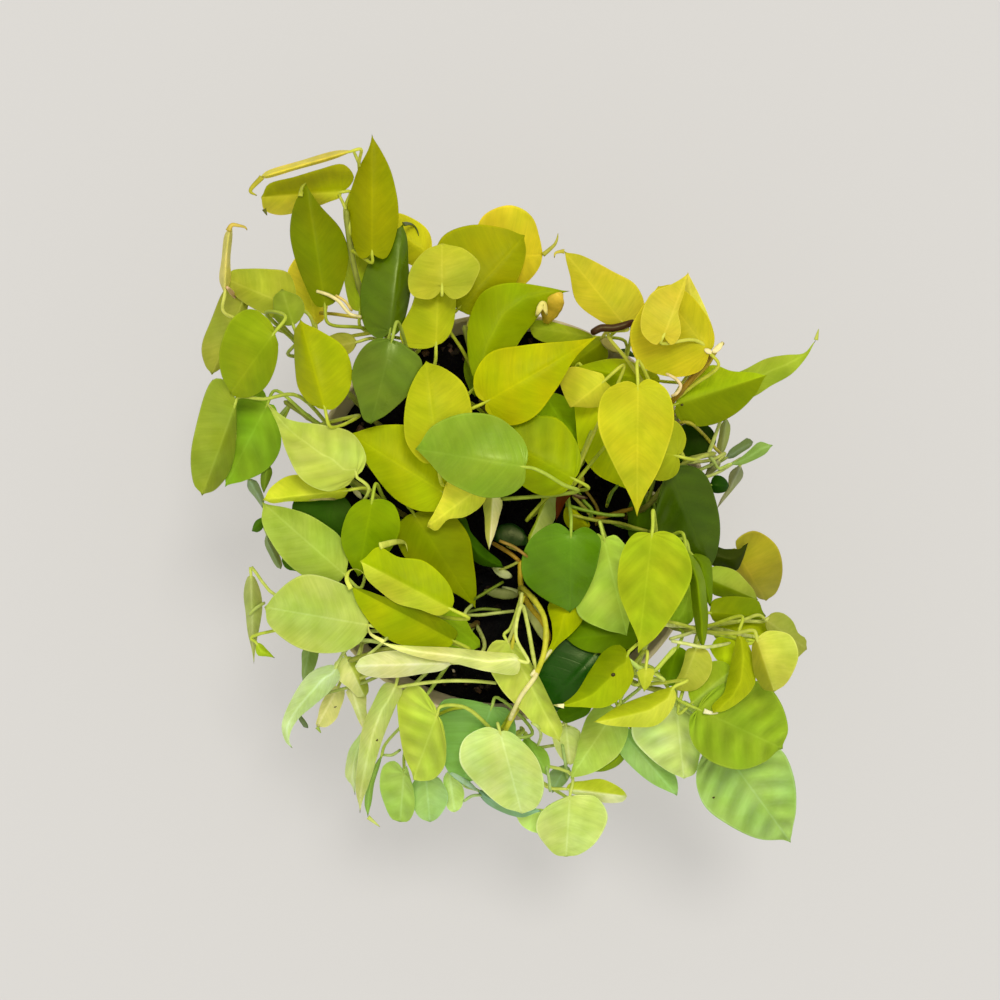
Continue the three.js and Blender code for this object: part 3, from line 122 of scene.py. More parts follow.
vine("vine_left_top", [-52, 34], [[-72, 56, 8], [-96, 80, 12], [-112, 96, 8]], [
    ["a7", 14, -18, -6, -12, (165, 175, 60), "-130.5 108, -146 71",
     "-127 111, -128 105, -130 95, -136 82, -142 74", "-134 116, -139 114, -147 97, -151 84, -149 75"],
    ["a6", 18, -14, -6, -6, (180, 190, 60), "-106 105, -139 119",
     "-108 98, -116 100, -124 104, -132 109, -137 114", "-104 112, -108 122, -118 124, -129 124, -136 123"],
    ["l5", 22, -8, -5, -5, (145, 165, 50), "-105.5 96, -111 114",
     "-110 96, -114 99, -115 105, -115 110, -112 113", "-103 98, -100 102, -100 106, -102 110, -106 112"],
    ["a5", 22, 2, -11, -11, (215, 210, 110), "-139.5 112, -136 147",
     "-142 118, -141 129, -139.5 141", "-137 118, -137 129, -136 141"],
    ["l2", 32, -22, -6, -8, (147, 168, 28), "-115 92, -137 61.5",
     "-113 85, -115 73, -120 64, -127 60, -133 60", "-117 98, -126 104, -136 99, -142 84, -141 71",
     {"bow": 5}],
])
vine("vine_left", [-56, 14], [[-76, 34, 6], [-98, 50, 10], [-110, 58, 8]], [
    ["l4b", 0, -6, -3, -3, (120, 150, 40), "-118 27, -120 12",
     "-116 23, -117 19, -119 14.5", "-121 22.5, -121.5 18.5, -121 14.5"],
    ["l4c", -4, -8, -4, -4, (150, 175, 130), "-128 19, -120.5 4",
     "-124 18, -121.5 13, -120 8.5", "-128 14.5, -124.5 10, -122 6.5"],
    ["l4", 8, -20, -6, -8, (145, 185, 45), "-118.5 56, -139.5 15",
     "-115 56, -112 46, -112 34, -118 24, -130 18", "-121 64, -130 64, -137 54, -139 38, -140 24"],
    ["l3", 16, -18, -14, -10, (155, 175, 55), "-134.5 56, -151 10.5",
     "-134 52, -134 44, -135 31, -139 20, -145 13", "-139 68, -145 69, -152 52, -156 33, -155 16",
     {"via": [[-120, 59, 19], [-104, 61, 16]]}],
    ["l6", 30, -6, -13, -5, (168, 180, 20), "-89.5 54, -102 99",
     "-96 56, -102 64, -104 74, -105 84, -105 93", "-85 54, -78 62, -76 73, -80 85, -92 93"],
])
vine("vine_left_low", [-46, -2], [[-58, 6, 4], [-70, 14, 14], [-77, 19, 20]], [
    ["l16", 13, -3, -2, -2, (52, 90, 5), "-86 12, -90 -25",
     "-80 10, -76 4, -78 -6, -82 -14, -87 -21", "-95 12, -105 8, -105 -2, -100 -12, -95 -20"],
    ["l17a", -12, -4, -2, -2, "dark", "-119.5 0, -126 -7",
     "-120 -4, -121.5 -6.5, -123.5 -7.5", "-121.5 -0.5, -124 -2, -125.5 -5"],
    ["l17b", -16, -6, -4, -4, (150, 175, 110), "-118.5 -8, -111.5 -26",
     "-116 -13, -112.5 -19, -111 -24", "-119.5 -13, -117 -19, -113.5 -25"],
    ["l17c", -8, -4, -2, -2, "dark", "-109 -18, -104 -27",
     "-106 -20, -103 -23, -102.5 -25.5", "-111 -21, -109.5 -25, -107 -26.5"],
    ["l9", 20, -16, -8, -4, (175, 200, 78), "-79.5 -29, -121 7.5",
     "-83 -33, -92 -33, -105 -26, -116 -13, -121 -2", "-78 -22, -82 -10, -89 -4, -98 1, -110 5"],
    ["l10", 26, -16, -5, -6, (138, 168, 15), "-66 8, -73 -30",
     "-61 9, -55 6, -52 -4, -56 -15, -66 -26", "-70 9, -77 4, -81 -6, -81 -13, -76 -25"],
    ["l8", 26, -14, -13, -8, (215, 225, 60), "-78 13.5, -120.5 8.5",
     "-80 10, -88 9, -98 8, -108 8, -116 7", "-82 16, -92 18, -101 21, -109 20, -117 14"],
    ["l7", 42, -12, -5, -3, (190, 205, 92), "-74.5 20.5, -119 57.5",
     "-78 16, -88 13, -101 19, -109 33, -113 46", "-71 23, -69 30, -76 42, -91 46, -108 49", {"bow": 5}],
])
vine("vine_front_left", [-34, -30], [[-42, -40, 6], [-54, -52, 16], [-62, -58, 24]], [
    ["l14", -8, -4, -2, -2, "lime", "-123.5 -63, -114.5 -70.5",
     "-121.5 -63.5, -119 -66, -116.5 -68.5", "-124 -66, -123 -69, -119 -69.5"],
    ["l11", 2, -26, -7, -9, (185, 200, 110), "-126.5 -29, -125 -73.5",
     "-125 -30, -122 -37, -121 -45, -122 -53, -124 -63", "-128 -30, -130 -38, -129 -48, -128 -57, -126 -66",
     {"via": [[-116, -38, 6], [-97, -47, 8]]}],
    ["l12", 32, -14, -5, -4, (185, 205, 100), "-68 -54, -120 -45",
     "-69 -59, -77 -66, -92 -68, -107 -63, -118 -53", "-68 -49, -72 -40, -84 -32, -100 -29, -115 -39",
     {"bow": 6}],
    ["u1", 24, -6, -2, -2, (150, 185, 30), "-38 -44, -12 -65",
     "-32 -42, -26 -45, -20 -50, -16 -57, -12 -62", "-38 -50, -36 -58, -32 -64, -26 -68, -18 -68"],
    ["l13", 34, 0, -7, 2, [(165, 182, 20), (128, 145, 0)], "-25 -62, -77 -34.5",
     "-28 -65, -42 -65, -54 -63, -64 -56, -74 -42", "-23 -58, -28 -53, -38 -48, -52 -43, -68 -37"],
    ["c2", 46, -2, -9, -2, [(205, 215, 60), (165, 185, 5)], "-26.5 -46, -72 -22",
     "-32 -49, -42 -46, -54 -43, -62 -37, -69 -30", "-25 -42, -28 -33, -40 -22, -53 -20, -63 -15"],
])
vine("vine_top_mid", [-30, 30], [[-38, 56, 6], [-46, 78, 14], [-48, 92, 18]], [
    ["b2", 12, -4, -6, -5, "yellow", "-38 128, -67.5 136",
     "-40 125, -46 126, -53 130, -60 133, -65 135", "-36 134, -38 143, -45 149, -55 152, -63 147"],
    ["f1", 32, -8, -4, -5, (107, 132, 35), "-56 88.5, -66.5 46.5",
     "-50 86, -41 78, -43 68, -50 59, -59 51", "-64 89, -72 83, -76 71, -73 58, -70 49", {"bow": 3}],
    ["c1", 31, -6, -4, -10, (92, 118, 18), "-57 93, -50.5 146.5",
     "-62 89, -69 94, -72 107, -69 124, -60 140", "-55 91, -50 98, -47 112, -48 128, -49 140"],
    ["b3a", 30, -6, -5, -6, (185, 195, 35), "-34 86, -32 134",
     "-41 84, -50 86, -52 93, -46 106, -42 120", "-30 88, -26 94, -24 105, -25 116, -28 127"],
    ["b3b", 40, -6, -4, -4, (185, 190, 55), "-31 115, -31 137",
     "-37 109, -46 111, -48 119, -45 127, -38 134", "-25 109, -18 112, -14 119, -12 126, -20 134",
     {"via": [[-31, 122, 35], [-31, 130, 20]]}],
])
vine("vine_top", [-8, 44], [[-12, 62, 4], [-16, 80, 10], [-20, 96, 12]], [
    ["b5", 8, -6, -5, -5, (210, 200, 45), "-9 130, 19.5 131",
     "-14 142, -10 151, 3 156, 14 150, 18 139", "-7 120, 0 114, 8 115, 14 120, 18 126"],
    ["b4", 18, -6, -5, -5, (160, 165, 0), "-23 104, 10.5 141",
     "-29 110, -35 125, -31 140, -17 146, 1 144", "-17 101, -4 104, 4 114, 8 122, 11 133"],
    ["d1b", 10, -8, -4, -4, "green", "-9 90, -14 60",
     "-5 85, -3 78, -5 71, -9 65, -13 62", "-15 88, -19 80, -20 72, -18 66, -16 62"],
    ["d1", 26, -4, -4, -8, (152, 172, 5), "-13 66, 33 113",
     "-17 75, -18 95, -11 112, 2 117, 21 115", "-6 68, 3 80, 8 88, 15 98, 23 108"],
])
vine("vine_top_right", [72, 40], [[76, 46, 6], [81, 54, 28], [86, 60, 40], [96, 72, 44], [104, 82, 46]], [
    ["d2", 38, -6, -6, -5, (198, 192, 48), "59.5 97, 30 133",
     "56 95, 47 99, 36 108, 33 121, 31 129", "64 97, 70 104, 66 116, 54 123, 38 131",
     {"via": [[52, 92, 34], [62, 78, 31]]}],
    ["p1", 42, -4, -4, -4, (222, 218, 85), "96 88, 92 122.5",
     "93 90, 92 97, 90 104, 88 111, 90 118", "100 88, 104 93, 102 101, 98 110, 94 118"],
    ["e1", 52, -8, -5, -4, (196, 190, 38), "102.5 82.5, 77 115.5",
     "98 73, 84 70, 68 76, 63 92, 69 105", "105 87, 104 96, 99 104, 92 112, 84 116"],
    ["e1f", 62, -8, -2, -2, (205, 198, 60), "80 91, 92 122",
     "76 86, 69 92, 69 102, 74 112, 83 116", "84 86, 88 91, 88 97, 87 102, 90 112",
     {"via": [[95, 88.5, 54], [101, 84, 50]]}],
    ["e3", 22, -4, -5, -5, (165, 185, 55), "110 64, 156 88.5",
     "113 70, 121 74, 131 79, 141 81, 150 82", "114 59, 124 60, 134 66, 144 72, 152 81"],
    ["e2", 36, -10, -7, -6, [(165, 190, 25), (128, 145, 10)], "86 56.5, 131.5 71",
     "88 61, 95 70, 104 76, 114 73, 125 72", "86 51, 92 46, 104 46, 116 52, 126 62"],
])
vine("vine_mid_left", [-18, 4], [[-22, 8, 8], [-26, 12, 20]], [
    ["f4", 50, -6, -4, -4, (182, 190, 32), "-33 28, -39 78",
     "-40 27, -48 36, -50 47, -48 62, -42 74", "-25 29, -17 40, -16 53, -20 66, -31 75"],
    ["f6", 32, -4, -6, -5, (185, 200, 22), "-30 12, -77.5 42",
     "-31 4, -41 3, -54 9, -65 21, -73 34", "-25 18, -33 35, -45 45, -58 46, -69 44"],
    ["o1", 18, -16, -4, -6, (150, 164, 5), "-45 1.5, -14 -46",
     "-38 4, -27 2, -18 -9, -15 -24, -14 -38", "-48 1, -54 -6, -51 -18, -38 -30, -21 -40"],
    ["o2", 6, -8, -2, -6, (70, 110, 5), "-22 2, 0 -25.5",
     "-19 -1, -17 -7, -12 -13, -7 -18, -2 -22", "-24 -3, -22 -12, -16 -21, -11 -24, -5 -25"],
    ["y1", 34, -16, -8, -4, (235, 238, 75), "-13 14, -38.5 -5",
     "-9 11, -12 5, -20 0, -28 -1, -34 -7", "-17 19, -28 18, -31 10, -35 2, -38 -3"],
    ["w1", 26, -10, -5, -3, [(240, 240, 170), (195, 200, 90)], "-5.5 12, -7.5 -17",
     "-1 8, -2.5 0, -5 -9", "-10 8, -9.5 -1, -9 -10"],
    ["f5", 60, -8, -6, -7, (140, 172, 45), "10.5 25, -44.5 34",
     "10 17, 3 11, -10 10, -27 17, -38 28", "12 31, 8 41, -4 50, -20 52, -36 45",
     {"bow": 5, "via": [[20, 22, 58], [30, 16, 54], [37, 13, 45]]}],
])
vine("vine_mid_right", [22, 8], [[27, 10, 8], [33, 13, 22]], [
    ["h1", 14, -14, -5, -6, [(205, 220, 120), (195, 215, 60)], "23.5 14, 11.5 -15",
     "27 11, 26 4, 25 -2, 20 -7, 16 -12", "20 12, 18 5, 16 -2, 13 -8, 11 -13"],
    ["d3", 6, -1, -1, -1, (165, 185, 40), "45 90, 12 95",
     "42 88, 37 88, 30 87, 22 87, 15 90", "42 92, 37 94, 30 96, 22 98, 15 98"],
    ["d8", 9, -3, -4, -4, (150, 165, 5), "50 88, 32.5 75.5",
     "51 85, 52 80, 47 77, 42 75, 37 74", "48 90, 43 88, 39 84, 36 80, 34 78"],
    ["dback", 6, -8, -4, -4, (175, 215, 25), "20 62, 38.5 31",
     "26 62, 33 58, 38 50, 40 42, 40 36", "16 57, 17 50, 22 44, 28 38, 34 33"],
    ["d6", 20, -12, -6, -6, (222, 238, 28), "43 64, 65 11.5",
     "50 64, 60 58, 66 45, 68 30, 67 18", "36 58, 36 47, 38 33, 46 22, 57 16"],
    ["d7", 24, -4, -9, -5, (170, 188, 5), "78 68, 34.5 75",
     "76 64, 68 62, 58 63, 48 67, 40 72", "77 71, 70 74, 63 78, 54 79, 43 77"],
    ["d5", 34, -4, -10, -3, (215, 215, 60), "50 68, 33 54.5",
     "54 64, 51 57, 44 55, 40 55, 36 55", "50 71, 44 73, 33 75, 28 70, 30 61"],
    ["d4", 48, -8, -4, -4, (182, 188, 5), "-9 57.5, 47 90.5",
     "-14 61, -15 70, -7 82, 10 86, 34 88", "-9 53, 2 46, 15 50, 26 64, 36 80", {"bow": 5}],
    ["h3", 26, -6, -4, -4, (160, 172, 10), "32 6.5, 42.5 -5.5",
     "35 5, 37 2, 40 0, 42 -2, 43 -4", "30 3, 30 -1, 32 -5, 36 -7, 40 -7"],
    ["sheath_a", 34, -12, -1, -1, (95, 50, 20), "31 13.5, 26 -2.5",
     "34.5 12.5, 31 8, 28 2", "27 12, 26 7, 26 1.5"],
    ["h2", 42, -22, -5, -5, (100, 144, 25), "33.5 -8.5, 33 -48",
     "41 -5, 48 -11, 47 -20, 44 -32, 38 -43", "26 -3, 15 -9, 9 -20, 10 -31, 21 -41", {"bow": 4}],
    ["g2", 44, -4, -8, -6, (155, 175, 18), "35 19, -10 44",
     "31 13, 20 11, 9 16, -3 27, -9 38", "38 24, 37 36, 27 49, 12 50, -2 48"],
])
vine("vine_right", [62, 0], [[72, 6, 8], [82, 18, 20], [92, 28, 28], [106, 32, 20]], [
    ["e6", 9, -3, -2, -2, (45, 70, 5), "100 47, 89.5 26.5",
     "104 44, 106 38, 103 33, 98 30, 94 27", "95 46, 89 46, 86 41, 86 34, 87 29"],
    ["e9", 2, -8, -4, -4, (85, 120, 10), "68 12, 66.5 -14",
     "72 10, 75 5, 75 -2, 73 -8, 70 -12", "64 9, 62 3, 62 -3, 62 -8, 64 -12"],
    ["e7d", -4, -8, -2, -2, (160, 175, 100), "111 49.5, 108.5 30",
     "113 46, 112.5 40, 110.5 34", "108.5 46, 107.5 40, 106.5 35"],
    ["e7c", -12, -10, -4, -4, (160, 170, 125), "118 26, 106 3.5",
     "119.5 21, 115 14.5, 110 8.5", "113 22, 112 15, 108.5 9"],
    ["e7e", 9, -3, -3, -3, (40, 75, 5), "103 16, 112.5 15.5",
     "105 20.5, 108.5 20.5, 111.5 18", "104.5 12.5, 107.5 12, 111 13"],
    ["e7f", 4, -4, -3, -3, (165, 170, 110), "108 29, 100.5 21",
     "108 26, 106 23.5, 103 21.5", "105 31, 103 27, 101.5 23.5"],
    ["e7a", -6, -4, -2, -2, "grey", "111 29.5, 124.5 37.5",
     "113 33.5, 118 37, 122 39.5", "114 29.5, 119 32.5, 123.5 35.5"],
    ["e7b", 8, 2, -3, -3, (155, 190, 100), "113 26.5, 134.5 36",
     "117 28.5, 122 32.5, 128 37.5", "117.5 26, 124.5 28.5, 131 32"],
    ["e8", 22, -20, -5, -6, (70, 95, 0), "82 24, 103 -27",
     "91 26, 100 22, 106 7, 108 -8, 106 -20", "80 16, 76 5, 76 -5, 80 -15, 92 -23"],
    ["e5", 50, -4, -5, -5, (170, 180, 35), "86.5 30.5, 60 36",
     "88 26, 86 21, 80 18, 72 20, 64 28", "90 34, 91 40, 86 48, 76 50, 66 44"],
    ["e4", 64, -16, -2, -2, (200, 202, 42), "67 65.5, 66.5 0",
     "72 69, 81 64, 85 49, 79 27, 70 10", "61 68, 50 62, 47 46, 56 24, 64 8"],
])
vine("vine_right_low", [50, -22], [[62, -20, 16], [74, -14, 34], [86, -18, 36]], [
    ["m1", 6, -4, -2, -5, (55, 68, 5), "103 -20, 122 -13",
     "106 -15, 110 -16, 114 -16, 118 -16, 120 -14", "104 -24, 110 -25, 116 -27, 119 -22, 121 -16"],
    ["m2", 4, -34, -5, -5, (172, 166, 42), "118 -20, 131 -42",
     "116 -12, 125 -7, 136 -14, 139 -27, 136 -38", "116 -26, 118 -30, 122 -34, 124 -38, 128 -41"],
    ["m3", 14, -12, -5, -4, [(162, 182, 60), (128, 152, 20)], "103 -31, 127 -41.5",
     "104 -25, 110 -25, 116 -27, 121 -32, 125 -37", "104 -38, 109 -40, 115 -42, 120 -42, 124 -42"],
    ["k3", 30, -10, -4, -4, (155, 190, 45), "93 -30, 81 -54.5",
     "94 -34, 95 -40, 95 -47, 94 -52, 88 -55", "91 -33, 89 -38, 86 -43, 83 -48, 80 -52"],
    ["k2a", 28, -4, -5, -5, (105, 135, 15), "93 -18.5, 103 -45",
     "99 -19, 103 -22, 104 -29, 104 -36, 104 -41", "94 -24, 96 -30, 98 -36, 100 -40, 102 -43"],
    ["k2b", 42, -20, -7, -12, (122, 150, 5), "91 -17, 99.5 -66.5",
     "96 -22, 100 -31, 101 -40, 102 -50, 101 -60", "91 -24, 93 -32, 94 -41, 95 -50, 97 -60"],
    ["i1", 34, -14, -6, -6, (192, 222, 85), "50 -11, 61.5 -59.5",
     "55 -9, 62 -16, 67 -30, 65 -43, 62 -54", "46 -8, 41 -20, 37 -34, 37 -49, 50 -56"],
    ["i3", 58, -16, -4, -5, (170, 190, 35), "74 -8.5, 67 -68.5",
     "80 -7, 88 -11, 94 -27, 88 -43, 76 -60", "66 -8, 59 -18, 57 -33, 62 -50, 67 -62",
     {"via": [[74.5, 3, 56]]}],
])
vine("vine_far_right", [62, -42], [[78, -52, 12], [92, -57, 20], [102, -57, 22]], [
    ["m4", 20, -12, -4, -4, (130, 150, 5), "103 -48, 131 -49.5",
     "104 -42, 110 -40, 119 -40, 127 -42, 129 -47", "105 -52, 111 -53, 118 -53, 124 -52, 129 -51"],
    ["m6", 16, -4, -3, -3, (175, 192, 10), "104 -57, 147 -61",
     "106 -54, 115 -52, 126 -51, 136 -53, 143 -57", "106 -61, 115 -63, 126 -62, 136 -61, 143 -62"],
    ["m5", 22, -18, -4, -5, (165, 175, 72), "131 -51.5, 151.5 -66",
     "134 -48, 139 -48, 144 -52, 147 -58, 151 -61", "131 -55, 135 -60, 140 -66, 145 -71, 148 -69",
     {"via": [[118, -52, 26]]}],
    ["m9", 26, -4, -4, -4, (195, 220, 30), "117 -64, 103 -66",
     "116 -70, 114 -75, 110 -74, 106 -71, 104 -68", "115 -62, 112 -61, 108 -60, 105 -62, 104 -64"],
    ["n2", 22, -8, -4, -4, (120, 160, 15), "87 -65, 81 -85",
     "90 -66, 92 -69, 91 -74, 88 -80, 85 -84", "84 -68, 80 -72, 78 -76, 78 -80, 80 -84"],
    ["m10", 26, -4, -4, -4, [(165, 190, 45), (175, 200, 80)], "94 -93, 114 -76",
     "92 -86, 96 -80, 101 -74, 106 -72, 111 -73", "98 -97, 104 -97, 110 -92, 113 -85, 114 -79"],
    ["n1", 36, -8, -3, -3, (190, 197, 70), "96 -66, 88 -87",
     "101 -66, 104 -72, 103 -79, 98 -85, 93 -87", "92 -66, 90 -72, 88 -78, 86 -82, 86 -86"],
    ["m8", 42, -8, -4, -10, (175, 190, 28), "117 -58, 104.5 -98",
     "121 -62, 125 -72, 125 -84, 118 -92, 110 -97", "116 -62, 114 -71, 112 -80, 110 -88, 104 -95"],
    ["m7", 42, -10, -3, -7, [(200, 208, 85), (160, 165, 45)], "126.5 -61, 135 -87.5",
     "132 -57, 143 -59, 147 -68, 144 -78, 140 -84", "124 -64, 124 -71, 125 -78, 127 -82, 130 -86",
     {"via": [[116, -58, 36]]}],
])
vine("vine_front_right", [36, -58], [[50, -74, 8], [68, -84, 18], [84, -88, 24]], [
    ["x3", 6, -2, -1, -1, (38, 84, 0), "46 -68, 20 -96",
     "50 -72, 48 -82, 42 -90, 34 -95, 27 -97", "38 -62, 28 -62, 18 -70, 14 -80, 15 -90"],
    ["x4", 9, -1, -1, -1, (80, 120, 10), "44 -94.5, 28 -101.5",
     "42 -98.5, 36 -101.5, 31 -103", "38 -94, 31 -95, 26.5 -97"],
    ["y8", -2, -22, -6, -6, (165, 208, 115), "58 -106, 86.5 -139.5",
     "63 -106, 71 -113, 80 -122, 86 -130, 87 -136", "56 -111, 58 -118, 65 -126, 74 -133, 82 -137"],
    ["y5b", -10, -6, -3, -3, "green", "62 -113, 44 -127.5",
     "61 -119, 57 -124, 50 -127", "57 -117, 52 -121.5, 48 -124.5"],
    ["n6", 4, -26, -5, -5, (162, 197, 105), "108 -114, 143.5 -163",
     "119 -110, 138 -116, 145 -130, 146 -145, 144 -157", "100 -118, 96 -130, 100 -144, 112 -154, 129 -161"],
    ["y5", 6, -22, -6, -8, (185, 212, 95), "56 -96, 33 -131",
     "61 -99, 62 -108, 57 -119, 48 -126, 40 -129", "49 -93, 42 -99, 38 -110, 36 -120, 34 -126"],
    ["n5", 14, -20, -8, -4, (210, 230, 145), "86 -93, 90 -131",
     "91 -92, 97 -98, 100 -108, 98 -119, 95 -128", "78 -95, 66 -99, 64 -109, 74 -121, 84 -128"],
    ["x2", 14, -4, -4, -4, (110, 145, 0), "67 -58, 31 -61",
     "65 -64, 58 -67, 49 -68, 41 -67, 35 -64", "64 -52, 57 -50, 48 -49, 40 -50, 34 -56"],
    ["x1", 20, -8, -4, -6, (180, 195, 8), "36 -43, 13 -80",
     "40 -46, 39 -52, 34 -58, 27 -64, 20 -73", "29 -39, 22 -44, 24 -54, 24 -62, 18 -72"],
    ["n3", 30, -20, -6, -5, (148, 178, 45), "97 -96, 139.5 -116",
     "100 -90, 113 -82, 129 -83, 139 -94, 142 -107", "93 -100, 94 -112, 103 -122, 117 -126, 131 -122",
     {"bow": 4}],
    ["k1a", 36, 4, -1, -1, (205, 228, 115), "73 -77, 61.5 -69.5",
     "71 -79, 67 -76.5, 64 -73.5", "72 -75.5, 68 -74.5, 64 -71.5"],
    ["k1b", 38, 4, -1, -1, (205, 225, 90), "73 -78, 86.5 -64.5",
     "76 -75, 80 -70.5, 84.5 -65.5", "76.5 -77, 81 -72, 86 -66.5"],
    ["k1c", 40, -2, -1, -1, (195, 205, 60), "71 -75.5, 70 -87.5",
     "75 -76.5, 74.5 -80, 72.5 -84.5", "66.5 -77, 67.5 -80.5, 69 -84.5"],
    ["j1", 40, -8, -4, -9, [(170, 190, 25), (140, 160, 0)], "61.5 -68, 26 -94.5",
     "63 -72, 65 -79, 60 -89, 50 -95, 38 -95", "58 -64, 50 -67, 43 -77, 36 -88, 30 -93"],
    ["n4", 46, -8, -3, -11, [(205, 215, 70), (190, 202, 40)], "84.5 -85, 44.5 -102.5",
     "86 -89, 84 -96, 76 -104, 65 -105, 52 -104", "80 -86, 74 -88, 66 -91, 57 -95, 49 -100", {"bow": 3}],
])
vine("vine_front", [8, -40],
     [[10, -36, 16], [20, -50, 30], [20, -68, 34], [12, -86, 28], [2, -104, 14], [-6, -122, -8]], [
    ["s1a", 50, -6, -9, -10, (230, 238, 150), "8 -72, -62 -62.5",
     "7 -78, -8 -77, -25 -73, -42 -70, -55 -66", "6 -69, -4 -68, -22 -66, -40 -65, -54 -64",
     {"via": [[6, -60, 50], [9, -44, 40]]}],
    ["t4", -26, -14, -4, -4, (175, 212, 130), "-39 -130, -37 -152.5",
     "-33 -130, -30 -134, -28 -140, -30 -146, -34 -151", "-43 -130, -46 -134, -46 -141, -44 -148, -41 -151"],
    ["t5", -30, -10, -3, -3, (210, 240, 145), "-27.5 -127, -24.5 -147.5",
     "-25 -128, -22 -132, -20 -138, -21 -144, -22 -146", "-30 -130, -30 -135, -30 -140, -29 -144, -27 -147"],
    ["t3", -22, -16, -4, -5, (172, 205, 100), "-50 -128, -52 -152.5",
     "-49 -124, -47 -130, -45 -138, -45 -147, -48 -152", "-55 -122, -60 -124, -62 -134, -60 -143, -56 -151"],
    ["y6", -40, -6, -4, -3, (200, 230, 130), "24 -147, 5.5 -149",
     "20 -157.5, 15 -157.5, 9 -154", "20 -146, 14 -146, 9 -147"],
    ["z3", -30, -6, -3, -3, (160, 190, 130), "31 -124, 24 -138",
     "33.5 -127, 31.5 -132, 27.5 -136", "27 -125, 23 -127.5, 23 -133"],
    ["z4", -20, -6, -3, -3, (150, 195, 150), "-13 -136.5, 19 -147",
     "-6 -138, 4 -143.5, 13 -144.5", "-10 -142, -1 -147.5, 9 -150"],
    ["z2", -22, -6, -4, -5, [(195, 210, 60), (225, 235, 180)], "31 -136, 61.5 -139.5",
     "33 -133, 40 -132, 48 -131, 54 -133, 60 -137", "34 -138, 40 -140, 46 -142, 53 -143, 60 -142"],
    ["z1", -22, -26, -4, -4, (205, 225, 130), "33 -139.5, 31 -170",
     "38 -139, 46 -140, 52 -150, 46 -162, 37 -169", "29 -141, 20 -146, 16 -155, 21 -164, 26 -169"],
    ["blob", -8, -8, -3, -3, (165, 205, 85), "11 -110, 22.5 -130",
     "16 -113.5, 21 -117, 23 -123", "9 -113, 13 -120, 18 -127"],
    ["y7", -10, -8, -3, -3, (220, 235, 150), "31 -104, 33 -124",
     "38 -107, 37.5 -114, 36 -122", "24.5 -107, 25 -114, 29 -121"],
    ["bg", 8, -18, -5, -6, (145, 195, 100), "-6 -95, -21 -134",
     "2 -96, 6 -106, 2 -118, -7 -127, -16 -132", "-14 -92, -31 -92, -34 -104, -32 -117, -27 -128"],
    ["t2", 18, -24, -6, -5, (190, 210, 80), "-33.5 -99, -45.5 -131.5",
     "-31 -103, -29 -114, -30 -125, -35 -131, -41 -132", "-36 -92, -44 -84, -52 -88, -53 -101, -50 -119",
     {"via": [[-20, -95, 20]]}],
    ["v2", 18, -26, -5, -5, (205, 225, 138), "-2 -107.5, 9 -148.5",
     "2 -107, 9 -112, 17 -122, 20 -135, 16 -145", "-9 -105, -20 -111, -22 -123, -11 -136, 0 -145"],
    ["v1", 38, -14, -9, -6, (202, 218, 92), "2 -62.5, 28 -112.5",
     "8 -64, 14 -74, 21 -87, 26 -98, 29 -106", "-5 -62, -9 -70, -2 -85, 9 -97, 20 -108",
     {"via": [[3, -56, 37], [8, -42, 30]]}],
])
vine("vine_front_low_left", [-14, -54], [[-34, -62, 12], [-58, -66, 22], [-78, -72, 20]], [
    ["t1c", -26, -10, -3, -3, "fresh", "-61 -119, -68 -150",
     "-62.5 -125, -65 -133, -66.5 -143", "-65 -125, -68.5 -135, -69.5 -144"],
    ["t1b", -14, -16, -5, -6, (200, 222, 150), "-69.5 -106, -74.5 -139",
     "-68 -108, -69 -115, -71 -122, -72 -129, -74 -135", "-72 -109, -77 -116, -79 -124, -79 -130, -76 -134"],
    ["r6", -6, -12, -4, -4, (215, 222, 150), "-76 -86, -69 -108",
     "-69.5 -88, -69 -96, -68 -103", "-79 -86.5, -75.5 -95, -72 -103"],
    ["r3", -22, -4, -1, -1, "grey", "-102.5 -98, -98 -105.5",
     "-100.5 -100.5, -99 -102.5, -98 -104.5", "-102.5 -101, -101 -103.5, -100 -105"],
    ["r2", -14, -14, -4, -4, (215, 220, 145), "-83 -85, -93.5 -105",
     "-80 -86, -80 -90, -82 -96, -84 -101, -89 -105", "-86 -84, -89 -89, -92 -95, -93 -100, -94 -103"],
    ["r4", -14, -10, -3, -3, (150, 180, 100), "-97 -65, -100.5 -82.5",
     "-93 -66, -93 -70, -95.5 -77", "-100.5 -66.5, -101 -74, -101 -79.5"],
    ["r5", 10, -12, -5, -5, [(200, 215, 95), (225, 235, 160)], "-79 -70, -69.5 -90",
     "-76 -70, -73 -74, -70 -80, -68 -84, -68 -88", "-84 -72, -85 -77, -82 -82, -77 -86, -73 -90"],
    ["t1", 18, -40, -11, -11, (208, 222, 130), "-54 -84, -72 -148",
     "-51 -86, -54 -94, -59 -106, -63 -118, -68 -134", "-59 -83, -66 -94, -71 -107, -73 -122, -74 -137"],
    ["r1", 12, -26, -8, -11, (205, 228, 165), "-84 -75, -106 -115.5",
     "-82 -80, -87 -87, -95 -94, -103 -101, -107 -108", "-86 -74, -97 -78, -106 -91, -111 -104, -109 -112"],
    ["s1b", 44, -4, -7, -5, (220, 226, 165), "-26 -73, -74.5 -74.5",
     "-30 -76, -40 -78, -53 -80, -66 -80, -73 -77", "-26 -70, -38 -68, -52 -67, -64 -68, -72 -71",
     {"via": [[-16, -72, 38], [-10, -66, 26]]}],
])


def seen(x, y, height):
    """Slides a point that is seen at (x, y) on the rim's plane to its height over the rim."""
    near = (EYE_HEIGHT - height) / EYE_HEIGHT
    at = [EYE_X + (x - EYE_X) * near, EYE_Y + (y - EYE_Y) * near, POT_HEIGHT + height]
    return np.stack(at, axis=-1)


def listed(line):
    return np.array([pair.split() for pair in line.split(", ")], float)


